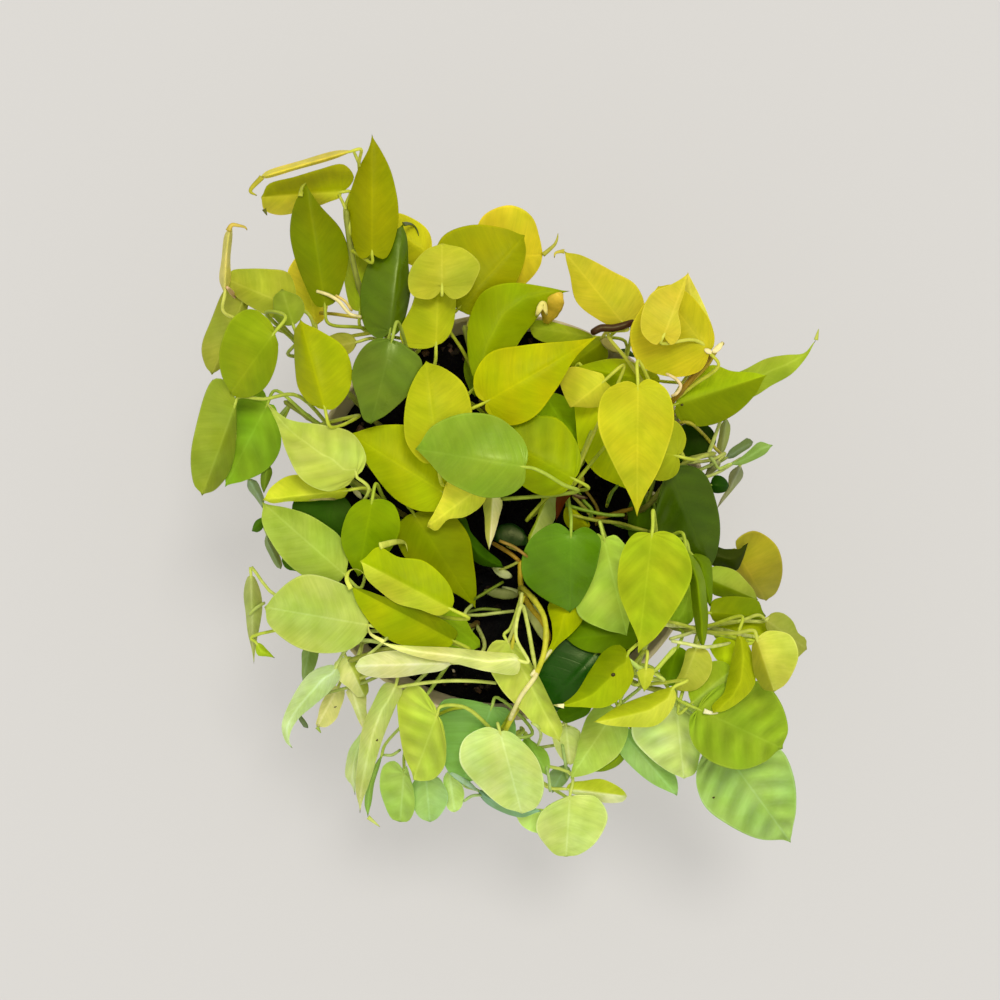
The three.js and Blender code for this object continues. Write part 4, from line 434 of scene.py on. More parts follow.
def aside_at(edge, along):
    """How far aside of the line from joint to tip an edge runs, at given ways along it."""
    line = np.array([[0, 0], *edge[edge[:, 0] > 0.02], [1, 0]])
    along = np.asarray(along, float)
    aside = np.zeros(along.shape)
    for (s, low), (to, high) in zip(line[-2::-1], line[:0:-1]):
        here = (along >= s) & (along <= to)
        aside = np.where(here, low + (high - low) * (along - s) / max(to - s, 1e-9), aside)
    return aside


class Leaf:
    """One blade: its listed measures, and its middle surface at the height where it lies."""

    def __init__(self, vine_name, row):
        self.vine = vine_name
        self.name, self.listed, self.rise, self.left_lift, self.right_lift, tone = row[:6]
        tone = TONES[tone] if isinstance(tone, str) else tone
        self.tones = tone if isinstance(tone, list) else [tone, tone]
        (self.from_, tip), *edges = (listed(line) for line in row[6:9])
        options = row[9] if len(row) > 9 else {}
        self.bow = options.get("bow", 2)
        self.via = options.get("via", [])
        self.reach = options.get("reach", REACH)
        self.stalk_tone = options.get("stalk", STALK_TONE)
        run = tip - self.from_
        self.length = float(np.hypot(*run))
        self.ahead = run / self.length
        self.side = np.array([-self.ahead[1], self.ahead[0]])
        self.halves = [
            np.stack([(edge - self.from_) @ self.ahead / self.length,
                      (edge - self.from_) @ self.side], axis=1)
            for edge in edges
        ]
        self.bent = any(
            (half[:, 1] * sign < OFF_MIDRIB).any() for half, sign in zip(self.halves, (1, -1))
        )
        self.left, self.right = (
            np.abs(half[:, 1] - self.middle(half[:, 0])).max() for half in self.halves
        )
        self.plan()

    def middle(self, along):
        """How far aside of the line from joint to tip the midrib runs."""
        if not self.bent:
            return np.zeros(np.shape(along))
        return (aside_at(self.halves[0], along) + aside_at(self.halves[1], along)) / 2

    def plan(self):
        """The coarse surface's stations, triangles and edges, as in the part's source."""
        rib = RIB if len(self.halves[0]) > 3 else SLIP_RIB
        last = len(rib) - 1
        self.along = list(rib)
        self.across = list(self.middle(rib))
        self.triangles = []
        for half in self.halves:
            near = 0
            if self.triangles:
                near = len(self.along)
                self.along.append(0.0)
                self.across.append(0.0)
            first = len(self.along)
            self.along += list(half[:, 0])
            self.across += list(half[:, 1])
            edge = [near, *range(first, first + len(half)), last]
            stations = [0, *half[:, 0], 1]
            middle = [near, *range(1, len(rib))]
            i = j = 0
            while i < len(edge) - 1:
                step_rib = j < last - 1 and rib[j + 1] <= stations[i] and i > 0
                if step_rib:
                    corner = [middle[j], middle[j + 1], edge[i]]
                    j += 1
                else:
                    corner = [middle[j], edge[i + 1], edge[i]]
                    i += 1
                if len(set(corner)) == 3:
                    self.triangles.append(corner[::-1] if near else corner)
        self.corners = [0, near]
        self.triangles = np.array([*self.triangles, [0, near, 1]])
        pairs = {
            tuple(sorted((int(t[k]), int(t[(k + 1) % 3]))))
            for t in self.triangles for k in range(3)
        }
        self.edges = np.array(sorted(pairs))

    def point(self, along, aside):
        """Points of the middle surface: along the line from joint to tip, and aside of it."""
        along = np.asarray(along, float)
        aside = np.asarray(aside, float)
        off = aside - self.middle(along)
        arch = np.where(along > 0, 4 * along * (1 - along), 0)
        width = np.where(off > 0, self.left, self.right)
        lift = np.where(off > 0, self.left_lift, self.right_lift)
        fall = self.rise * np.sign(along) * np.abs(along) ** DROOP
        x, y = (
            self.from_[k] + self.ahead[k] * along * self.length + self.side[k] * aside
            for k in (0, 1)
        )
        lift = lift * np.abs(off / width) ** DROOP
        return seen(x, y, self.height + fall + self.bow * arch + lift)

    def lay(self, height):
        """Puts the coarse surface at a height, with what the stacking reads."""
        self.height = height
        self.points = self.point(self.along, self.across)
        self.joint = self.points[0].copy()
        self.points[self.corners[0], :2] += self.side * PETIOLE
        self.points[self.corners[1], :2] -= self.side * PETIOLE
        self.start, q, r = (self.points[self.triangles[:, k]] for k in range(3))
        self.one = q - self.start
        self.two = r - self.start
        normal = np.cross(self.one, self.two)
        size = np.linalg.norm(normal, axis=1)
        self.area = normal[:, 2]
        upright = np.maximum(np.abs(self.area) / size, 1e-12)
        self.thick = float(np.minimum(BLADE / 2 / upright, 3.4).max())
        self.steep = np.minimum(1 / upright, 3)
        self.low = self.points.min(0)
        self.high = self.points.max(0)
        return self

    def shares(self, points):
        """Where points fall in each triangle's plan, and each triangle's height there."""
        flat = np.abs(self.area) < 1e-9
        area = np.where(flat, 1, self.area)
        off = points[:, None, :] - self.start
        v = (off[..., 0] * self.two[:, 1] - self.two[:, 0] * off[..., 1]) / area
        w = (self.one[:, 0] * off[..., 1] - off[..., 0] * self.one[:, 1]) / area
        z = self.start[:, 2] + v * self.one[:, 2] + w * self.two[:, 2]
        return v, w, z, ~flat

    def height_at(self, points):
        """Height of the surface over each point, or -inf outside it."""
        v, w, z, real = self.shares(points)
        inside = real & (v >= 0) & (w >= 0) & (v + w <= 1)
        return np.where(inside, z, -np.inf).max(1)

    def touched(self, points, clear):
        """Whether each point comes too close to the blade."""
        v, w, z, real = self.shares(points)
        inside = real & (v >= -0.1) & (w >= -0.1) & (v + w <= 1.1)
        return (inside & (np.abs(points[:, 2:] - z) < clear * self.steep)).any(1)


def lift_over(upper, lower):
    """How far a blade has to rise to clear one that lies lower."""
    if (upper.low[:2] > lower.high[:2]).any() or (lower.low[:2] > upper.high[:2]).any():
        return 0
    over = lower.height_at(upper.points)
    need = np.where(over > -np.inf, over - upper.points[:, 2], -np.inf).max()
    under = upper.height_at(lower.points)
    need = max(need, np.where(under > -np.inf, lower.points[:, 2] - under, -np.inf).max())
    a, b = (upper.points[upper.edges[:, k]][:, None] for k in (0, 1))
    c, d = (lower.points[lower.edges[:, k]][None] for k in (0, 1))
    u = b - a
    v = d - c
    cross = u[..., 0] * v[..., 1] - u[..., 1] * v[..., 0]
    level = np.abs(cross) < 1e-9
    cross = np.where(level, 1, cross)
    off = c - a
    s = (off[..., 0] * v[..., 1] - off[..., 1] * v[..., 0]) / cross
    t = (off[..., 0] * u[..., 1] - off[..., 1] * u[..., 0]) / cross
    meet = ~level & (s >= 0) & (s <= 1) & (t >= 0) & (t <= 1)
    rise = c[..., 2] + v[..., 2] * t - a[..., 2] - u[..., 2] * s
    need = max(need, np.where(meet, rise, -np.inf).max())
    return need + upper.thick + lower.thick + LEAF_GAP


def lay_leaves():
    """Lays the leaves from the lowest to the highest, each lifted clear of those under it."""
    leaves = [Leaf(name, row) for name, one in VINES.items() for row in one["leaves"]]
    laid = []
    for leaf in sorted(leaves, key=lambda one: one.listed):
        leaf.lay(leaf.listed)
        for _ in range(6):
            lift = max([0, *(lift_over(leaf, lower) for lower in laid)])
            if lift < 0.02:
                break
            leaf.lay(leaf.height + lift)
        laid.append(leaf)
    return laid


def smooth(points, steps):
    """Points of a centripetal Catmull-Rom line; the points may hold a batch of lines."""
    points = np.asarray(points, float)
    count = points.shape[-2]
    before = 2 * points[..., :1, :] - points[..., 1:2, :]
    after = 2 * points[..., -1:, :] - points[..., -2:-1, :]
    held = np.concatenate([before, points, after], axis=-2)
    place = np.arange(steps + 1) / steps * (count - 1)
    first = np.minimum(place.astype(int), count - 2)
    f = (place - first)[:, None]
    p0, p1, p2, p3 = (held[..., first + k, :] for k in range(4))
    d0, d1, d2 = (
        ((b - a) ** 2).sum(-1, keepdims=True) ** 0.25 for a, b in ((p0, p1), (p1, p2), (p2, p3))
    )
    d1 = np.where(d1 < 1e-4, 1, d1)
    d0 = np.where(d0 < 1e-4, d1, d0)
    d2 = np.where(d2 < 1e-4, d1, d2)
    t1 = ((p1 - p0) / d0 - (p2 - p0) / (d0 + d1) + (p2 - p1) / d1) * d1
    t2 = ((p2 - p1) / d1 - (p3 - p1) / (d1 + d2) + (p3 - p2) / d2) * d1
    return (
        p1 + t1 * f + (-3 * p1 + 3 * p2 - 2 * t1 - t2) * f**2
        + (2 * p1 - 2 * p2 + t1 + t2) * f**3
    )


def vine_points(one):
    x, y = one["soil"]
    rooted = [[x, y, GROUND + z] for z in (-ROOTED, 2, 8)]
    return np.array(rooted + [list(seen(*point)) for point in one["stem"]])


def crossing(inner, outer, radius, height):
    """Where the line between two points crosses a circle about the pot's axis."""
    u = outer[:2] - inner[:2]
    a = u @ u
    b = inner[:2] @ u
    c = inner[:2] @ inner[:2] - radius**2
    t = (-b + math.sqrt(max(0, b * b - a * c))) / a
    return np.array([*(inner[:2] + t * u), POT_HEIGHT + height])


def walk(lines, step):
    """Points along the lines at most a step apart, their line and their place in it."""
    start = lines[:, :-1]
    run = lines[:, 1:] - start
    parts = np.ceil(np.linalg.norm(run, axis=-1) / step).astype(int)
    flat = parts.ravel()
    segment = np.repeat(np.arange(flat.size), flat)
    k = np.arange(flat.sum()) - np.repeat(np.cumsum(flat) - flat, flat)
    share = (k / flat[segment])[:, None]
    points = start.reshape(-1, 3)[segment] + run.reshape(-1, 3)[segment] * share
    owner = segment // parts.shape[1]
    counts = parts.sum(1)
    place = np.arange(len(points)) - np.repeat(np.cumsum(counts) - counts, counts)
    return points, owner, place, counts


def blocked(lines, leaf, laid, stems):
    """How much of each line is blocked: by blades, the rim, the soil and other stems."""
    points, owner, place, counts = walk(lines, 3)
    height = points[:, 2] - POT_HEIGHT
    r = np.hypot(points[:, 0], points[:, 1])
    cost = WALL_COST * ((r > RIM_BAND[0]) & (r < RIM_BAND[1]) & (height < 3))
    cost += WALL_COST * ((r <= RIM_RADIUS) & (points[:, 2] < GROUND + 3))
    low = points.min(0)
    high = points.max(0)
    edge = np.array([1, 1, 10])
    for other in laid:
        if (other.low - edge > high).any() or (other.high + edge < low).any():
            continue
        close = ((points >= other.low - edge) & (points <= other.high + edge)).all(1)
        if other is leaf:
            close &= place >= 3
        index = np.flatnonzero(close)
        if index.size:
            hit = other.touched(points[index], PETIOLE + BLADE / 2 + FIT)
            cost[index[hit]] += OWN_BLADE_COST if other.vine == leaf.vine else OTHER_BLADE_COST
    at, size, of_vine = stems
    near = ((at > low - 4) & (at < high + 4)).all(1)
    own = of_vine[near] == leaf.vine
    sizes = size[near]
    for part in np.array_split(np.arange(len(points)), max(1, len(points) // 1500)):
        gap = np.linalg.norm(points[part, None] - at[near], axis=-1)
        twin = (gap < TWIN_GAP) & own & (sizes < STEM)
        cost[part] += TWIN_COST * twin.sum(1) * (place[part] < counts[owner[part]] - 3)
        cost[part] += OTHER_STEM_COST * ((gap < sizes + PETIOLE + 1) & ~own).sum(1)
    return np.bincount(owner, cost, len(lines))


def stalk_steps(points):
    """The number of steps of a stalk in the part's source."""
    return 6 if len(points) > 4 else 4


def stalk_points(leaf, spine, laid, stems):
    """The points of a leaf's stalk: back from the sinus and down to its vine, by the least
    blocked way."""
    joint = leaf.joint
    via = [seen(x, y, z + leaf.height - leaf.listed) for x, y, z in leaf.via]
    start = via[-1] if via else joint
    back = np.array([-leaf.ahead[0], -leaf.ahead[1], -0.25])
    side = np.array([*leaf.side, 0])
    outside = np.hypot(*start[:2]) > RIM_RADIUS and start[2] < POT_HEIGHT + RIM_CLEAR
    ways = []
    for i in range(2 * len(spine) - 2):
        foot = (spine[i >> 1] + spine[(i + 1) >> 1]) / 2
        if foot[2] < GROUND + 7:
            continue
        far = np.linalg.norm(foot - start)
        over = []
        if outside and np.hypot(*foot[:2]) < RIM_RADIUS:
            over = [crossing(foot, start, r, z) for r, z in OVER_RIM]
        straight = bool(via or over)
        base = abs(far - leaf.reach) * 0.3 + max(0, foot[2] - start[2]) * 0.5
        for aside in [0] if straight else [0, 1, -1, 2, -2]:
            for sag in [0] if straight else [0, 1, 2]:
                bend = joint + back * (4 if straight else far * 0.18 + 2)
                way = foot + (bend - foot) * 0.45 + side * aside * 9
                way[2] += (foot[2] - bend[2]) * 0.25 * sag
                points = [joint, bend, *via, *over, foot] if straight else [joint, bend, way, foot]
                ways.append((base + abs(aside) + sag * 0.5, len(ways), np.array(points)))
    ways.sort(key=lambda way: way[:2])
    least = (math.inf, 0, None)
    for first, last in ((0, 50), (50, len(ways))):
        batch = [way for way in ways[first:last] if way[0] <= least[0]]
        for count in sorted({len(way[2]) for way in batch}):
            alike = [way for way in batch if len(way[2]) == count]
            lines = smooth([way[2] for way in alike], stalk_steps(alike[0][2]))
            costs = blocked(lines, leaf, laid, stems)
            for cost, way in zip(costs, alike):
                least = min(least, (cost + way[0], way[1], way[2]), key=lambda one: one[:2])
    return least[2]


def samples(lines, size, name):
    """Points along placed stems, at most 2 mm apart, with their thickness and vine."""
    at = []
    for line in lines:
        for a, b in zip(line, line[1:]):
            parts = math.ceil(np.linalg.norm(b - a) / 2)
            at += [a + (b - a) * k / parts for k in range(parts + 1)]
    return [np.array(at), np.full(len(at), size), np.full(len(at), name, dtype=object)]


def joined(stems, more):
    return [np.concatenate([a, b]) for a, b in zip(stems, more)]


def route_stalks(laid):
    """Finds each leaf's stalk points, vine by vine."""
    spines = {}
    stems = None
    for name, one in VINES.items():
        points = vine_points(one)
        spines[name] = smooth(points, len(points) + 4)
        more = samples([spines[name]], STEM, name)
        stems = more if stems is None else joined(stems, more)
    for name in VINES:
        for leaf in laid:
            if leaf.vine != name:
                continue
            leaf.stalk_line = stalk_points(leaf, spines[name], laid, stems)
            line = smooth(leaf.stalk_line, stalk_steps(leaf.stalk_line))
            stems = joined(stems, samples([line], PETIOLE, name))


def linear(colour):
    """sRGB 0-255 to linear 0-1."""
    c = np.asarray(colour, float) / 255
    return np.where(c <= 0.04045, c / 12.92, ((c + 0.055) / 1.055) ** 2.4)


ALBEDO = np.array([1.05, 1.0, 0.95])  # from a tone as seen to the colour of the surface
SHEEN = np.array([0.012, 0.012, 0.005])  # what the gloss adds to every tone


def paint(tone):
    """The surface colour that looks like a tone in this light."""
    return np.maximum(linear(tone) * ALBEDO - SHEEN, 0.0004)


class Shell:
    """Gathers the vertices, faces and painted values of one piece."""

    def __init__(self):
        self.points = []
        self.tones = []
        self.veins = []
        self.faces = []
        self.materials = []
        self.count = 0

    def add(self, points, faces, tones, veins, material=0):
        points = np.asarray(points, float)
        self.points.append(points)
        self.tones.append(np.broadcast_to(tones, (len(points), 3)))
        self.veins.append(np.broadcast_to(veins, (len(points), 3)))
        self.faces += [tuple(i + self.count for i in face) for face in faces]
        self.materials += [material] * len(faces)
        self.count += len(points)

    def piece(self, name, materials):
        mesh = bpy.data.meshes.new(name)
        points = np.concatenate(self.points) * MM
        mesh.from_pydata(points.tolist(), [], self.faces)
        tones = np.ones((self.count, 4))
        tones[:, :3] = np.concatenate(self.tones)
        tone = mesh.attributes.new("tone", "FLOAT_COLOR", "POINT")
        tone.data.foreach_set("color", tones.astype(np.float32).ravel())
        vein = mesh.attributes.new("vein", "FLOAT_VECTOR", "POINT")
        vein.data.foreach_set("vector", np.concatenate(self.veins).astype(np.float32).ravel())
        mesh.polygons.foreach_set("use_smooth", np.ones(len(self.faces), bool))
        mesh.polygons.foreach_set("material_index", np.array(self.materials, np.int32))
        for material in materials:
            mesh.materials.append(material)
        mesh.update()
        made = bpy.data.objects.new(name, mesh)
        bpy.context.scene.collection.objects.link(made)
        return made


EDGE_STEP = 2.0  # mm between the fine outline's points
ACROSS = np.array([0, 0.05, 0.14, 0.27, 0.42, 0.58, 0.74, 0.88, 0.965, 1])
FAN = 0.22  # how far the side veins sweep towards the tip
VEIN_STEP = 6.0  # mm along the edge from one side vein to the next
WIDER = 1.7  # times that on leaves with sunk veins
NOTCH = [0.5, 0.28]  # the outline's way out of the sinus, as shares of the first edge point
DRIP = [0.7, 0.2]  # and into the drip tip, as shares of the last one
GLOSSY = ("c1", "f1", "h2", "x3", "e8", "f5")  # old dark leaves
QUILT = 0.07  # mm of relief between the side veins
QUILTED = {  # and on leaves whose veins are sunk deeper, with more painted shade in the valleys
    "n6": 0.6, "n3": 0.45, "n5": 0.4, "t2": 0.4, "t3": 0.25, "l7": 0.25, "l4": 0.2, "l5": 0.2,
    "i1": 0.15, "i3": 0.15, "g2": 0.15, "m9": 0.3, "e8": 0.25, "c1": 0.15, "f1": 0.2, "v1": 0.2,
}
GROOVE = 0.4  # depth of the midrib in mm
BROAD = 40  # mm; a blade this wide has its full relief
WAVE = 0.5  # mm that its edges wave
WAVE_LENGTH = 26
PATCH = [0.08, 28]  # how much paler and darker patches are, and their size in mm
SPOT = [0.03, 9]
REDDER = [0.04, 24]
UNDERSIDE = 1.12  # how much paler a blade is from below
NO_VEINS = (0.5, 0.25, 9.0)  # the "vein" values of what has no veins


def fine_edges(leaf):
    """Both edges as evenly spaced points (along, aside), and the ways along them in mm."""
    lines = []
    for half in leaf.halves:
        first, last = half[0], half[-1]
        held = [[0, 0], *half]
        if first[0] < 0:
            held.insert(1, first * NOTCH)
        near_tip = last[0] + DRIP[0] * (1 - last[0])
        out = (last[1] - leaf.middle(last[0])) * DRIP[1]
        held += [[near_tip, leaf.middle(near_tip) + out], [1, 0]]
        line = smooth(np.array(held) * [leaf.length, 1], 160)
        run = np.linalg.norm(np.diff(line, axis=0), axis=1)
        lines.append((line, np.concatenate([[0], np.cumsum(run)])))
    count = int(np.clip(max(far[-1] for _, far in lines) / EDGE_STEP, 9, 48))
    edges = []
    ways = []
    for line, far in lines:
        even = np.linspace(0, far[-1], count + 1)
        edge = np.stack([np.interp(even, far, line[:, k]) for k in (0, 1)], axis=1)
        edges.append(edge / [leaf.length, 1])
        ways.append(even)
    return edges, ways


def waves(seed, where, scale):
    """A smooth field of a few crossed waves, from -1 to 1 or so."""
    rng = np.random.default_rng(seed)
    field = np.zeros(len(where))
    for _ in range(4):
        turn = rng.uniform(0, 2 * math.pi)
        size = scale * rng.uniform(0.7, 1.6)
        heading = np.array([math.cos(turn), math.sin(turn)])
        field += np.sin(where @ heading * 2 * math.pi / size + rng.uniform(0, 2 * math.pi))
    return field / 2.2


def blade_grid(leaf):
    """A fine blade in its own measures: per vertex along, aside, share of the way to the
    edge, side-vein count and half (1 left, -1 right); the faces; the loop of the edge."""
    edges, ways = fine_edges(leaf)
    last = len(ways[0]) - 1
    widths = (leaf.left, leaf.right)
    shares = [np.abs(e[:, 1] - leaf.middle(e[:, 0])) / w for e, w in zip(edges, widths)]
    rib = (edges[0][:, 0] + edges[1][:, 0]) / 2 - FAN * (shares[0] + shares[1]) / 2
    rib = np.maximum.accumulate(np.clip(rib, 0, 1))
    rib[last] = 1
    centre = leaf.middle(rib)
    vein_step = VEIN_STEP * (WIDER if leaf.name in QUILTED else 1)
    rows = []
    index = {}

    def vertex(t, k, half):
        across = ACROSS[k]
        along, aside = edges[half][t]
        along = rib[t] + (along - rib[t]) * across**1.25
        aside = centre[t] + (aside - centre[t]) * across
        key = (round(along, 5), round(aside, 4))
        if key not in index:
            index[key] = len(rows)
            rows.append([along, aside, across, ways[half][t] / vein_step, 1 - 2 * half])
        return index[key]

    faces = []
    loops = []
    for half in (0, 1):
        grid = [[vertex(t, k, half) for k in range(len(ACROSS))] for t in range(last + 1)]
        for t in range(last):
            for k in range(len(ACROSS) - 1):
                ring = [grid[t][k], grid[t + 1][k], grid[t + 1][k + 1], grid[t][k + 1]]
                face = [v for n, v in enumerate(ring) if v != ring[n - 1]]
                if len(set(face)) >= 3:
                    faces.append(face[::-1] if half else face)
        loops.append([grid[t][-1] for t in range(last + 1)])
    return np.array(rows), faces, loops[1][:-1] + loops[0][:0:-1]


def face_normals(points, faces):
    """Unit normals at the points, from the faces round them."""
    total = np.zeros_like(points)
    for size in (3, 4):
        ring = np.array([face for face in faces if len(face) == size])
        if not ring.size:
            continue
        corner = [points[ring[:, k]] for k in range(size)]
        normal = np.cross(corner[2] - corner[0], corner[-1] - corner[1])
        if size == 3:
            normal = np.cross(corner[1] - corner[0], corner[2] - corner[0])
        for k in range(size):
            np.add.at(total, ring[:, k], normal)
    return total / np.maximum(np.linalg.norm(total, axis=1, keepdims=True), 1e-12)


def swell_between(share):
    """Rises from 0 at the midrib to 1, and falls to 0 at the edge."""
    return np.sin(math.pi * np.clip(share, 0, 1)) ** 0.8


def blade_tones(leaf, rows, where):
    """The blade's painted colour: its halves' tones, soft paler and darker patches, and painted shade in the
    sunk veins.
    """
    left, right = leaf.tones
    # Each half is painted in its own tone; where the two differ, that is partly painted light and shade on a
    # folded blade.
    side = np.clip(rows[:, 4] * rows[:, 2] * 6 + 0.5, 0, 1)[:, None]
    colour = paint(right) * (1 - side) + paint(left) * side
    seed = sum(ord(letter) * (k + 3) for k, letter in enumerate(leaf.name))
    patch, spot, redder = (
        amount * waves(seed + k, where, size)
        for k, (amount, size) in enumerate((PATCH, SPOT, REDDER))
    )
    colour *= (1 + patch + spot)[:, None]
    colour[:, 0] *= 1 + redder
    depth = 0.04 + 0.3 * QUILTED.get(leaf.name, 0)  # painted shade in the valleys of the sunk veins
    body = swell_between(rows[:, 2])
    colour *= (1 - depth * np.cos(2 * math.pi * rows[:, 3]) * body)[:, None]
    return np.clip(colour, 0, 1)


def add_blade(shell, leaf):
    rows, faces, loop = blade_grid(leaf)
    along, aside, share, count = rows.T[:4]
    points = leaf.point(along, aside)
    off = np.abs(aside - leaf.middle(along))
    normals = face_normals(points, faces)
    size = min(leaf.left + leaf.right, BROAD) / BROAD
    body = swell_between(share)
    relief = -QUILTED.get(leaf.name, QUILT) * size * np.cos(2 * math.pi * count) * body
    relief -= GROOVE * size * np.exp(-((off / 1.0) ** 2)) * (along > 0)
    seed = len(leaf.name) * 7 + ord(leaf.name[-1])
    where = np.stack([along * leaf.length, aside], axis=1)
    relief += WAVE * size * waves(seed, where, WAVE_LENGTH) * share
    points = points + normals * relief[:, None]
    normals = face_normals(points, faces)
    tones = blade_tones(leaf, rows, where)
    veins = np.stack([share, count, off], axis=1)
    total = len(points)
    thin = FINE_BLADE / 2
    both = np.concatenate([points + normals * thin, points - normals * thin])
    under = [[v + total for v in face[::-1]] for face in faces]
    rim = []
    for n, a in enumerate(loop):
        b = loop[(n + 1) % len(loop)]
        rim.append([a, a + total, b + total, b])
    tones = np.concatenate([tones, np.clip(tones * UNDERSIDE, 0, 1)])
    skin = 2 if leaf.name in GLOSSY else 0
    shell.add(both, faces + under + rim, tones, np.concatenate([veins, veins]), skin)


def tube(path, radii, sides, flat=1.0):
    """A closed tube along a path; flattened, it is a strip that lies level."""
    path = np.asarray(path, float)
    last = len(path) - 1
    run = path[1] - path[0]
    across = np.array([-run[1], run[0] + 1e-6, 0.0])
    points = []
    for i, at in enumerate(path):
        ahead = path[min(i + 1, last)] - path[max(i - 1, 0)]
        ahead = ahead / max(np.linalg.norm(ahead), 1e-9)
        across = across - ahead * (across @ ahead)
        across = across / max(np.linalg.norm(across), 1e-9)
        up = np.cross(across, ahead)
        turn = 2 * math.pi * np.arange(sides)[:, None] / sides
        ring = np.cos(turn) * across * radii[i] - np.sin(turn) * up * radii[i] * flat
        points.append(at + ring)
    faces = []
    for i in range(last):
        for j in range(sides):
            k = (j + 1) % sides
            here = i * sides
            there = here + sides
            faces.append([here + j, here + k, there + k, there + j])
    faces.append(list(range(sides))[::-1])
    faces.append([last * sides + j for j in range(sides)])
    return np.concatenate(points), faces


STALK_TONE = (195, 210, 90)
STEM_TONE = (140, 150, 60)
STEM_TONES = {"vine_front": (205, 205, 60), "vine_top_right": (150, 120, 30)}
WOOD_TONE = (95, 70, 40)
ROUND_SIDES = 8  # of stalks and strips
STEM_SIDES = 10
NODE_STEP = 21.0  # mm between the swellings of a stem, where leaves grow


def add_stalk(shell, leaf):
    """A leaf's stalk, from under its midrib down into the vine."""
    near = np.array([3.5, 1.2]) / leaf.length
    lead = leaf.point(near, leaf.middle(near)) - [0, 0, 0.55]
    line = smooth(leaf.stalk_line, 22)
    path = np.array([*lead, *line[1:]])
    share = np.linspace(0, 1, len(path))
    radii = 0.82 + 0.25 * share**2
    radii[0] = 0.3
    radii[1] = 0.65
    radii[-1] = 0.5
    points, faces = tube(path, radii, ROUND_SIDES)
    tone = paint(0.45 * np.mean(leaf.tones, axis=0) + 0.55 * np.array(leaf.stalk_tone))
    tones = tone[None] * np.linspace(1.05, 0.9, len(path))[:, None]
    tones = np.repeat(tones, ROUND_SIDES, axis=0)
    shell.add(points, faces, np.clip(tones, 0, 1), NO_VEINS, 1)


def add_stem(shell, name):
    points = vine_points(VINES[name])
    line = smooth(points, 60)
    run = np.concatenate([[0], np.cumsum(np.linalg.norm(np.diff(line, axis=0), axis=1))])
    swell = np.exp(-(((run / NODE_STEP + 0.4) % 1 - 0.5) / 0.07) ** 2)
    radii = 1.35 + 0.35 * swell
    radii[0] = 0.6
    radii[-1] = 0.5
    path, faces = tube(line, radii, STEM_SIDES)
    green = paint(STEM_TONES.get(name, STEM_TONE))
    wood = paint(WOOD_TONE)
    share = np.clip((run - 20) / 50, 0, 1)[:, None]
    tone = (wood * (1 - share) + green * share) * (1 - 0.25 * swell[:, None])
    shell.add(path, faces, np.repeat(tone, STEM_SIDES, axis=0), NO_VEINS, 1)


STRIP_STEP = 0.8  # mm between the points of a strip
REST = 4  # a strip's height is evened over this many points each way
SINK = 2.0  # mm that the ends sink
SINK_SHARE = 0.12  # over this share of the strip
UNDER_RIM = -12  # the height of a strip with no leaf under or beside it
FLAT = 0.3  # thickness of a flat strip, as a share of its width
WIDTHS = {  # half widths along each kind, as shares
    "drip": [1, 0.75, 0.5, 0.15], "strand": [0.9, 1, 1, 0.9], "sheath": [0.3, 0.9, 1, 0.8, 0.2],
    "speck": [0.5, 1, 0.5],
}
SPECK_TONE = (55, 42, 15)
SPECKS = [  # owner; half width; where it is seen
    ["vine_mid_right", 0.6, "50 77.3"], ["vine_right", 0.7, "89 56"],
    ["vine_right", 0.7, "65 37.2"], ["vine_right", 0.4, "52 35"],
    ["vine_front_right", 1.0, "54.6 -79"], ["vine_right_low", 0.7, "96.2 -74.6"],
    ["vine_right_low", 0.5, "92 -78"], ["vine_front_right", 0.6, "102.3 -138.4"],
    ["vine_front_right", 0.6, "104.8 -140.4"], ["vine_front_low_left", 1.0, "-84.6 -94.6"],
    ["vine_front_low_left", 0.6, "-63.6 -111.7"], ["vine_mid_right", 0.6, "17.7 88.2"],
]
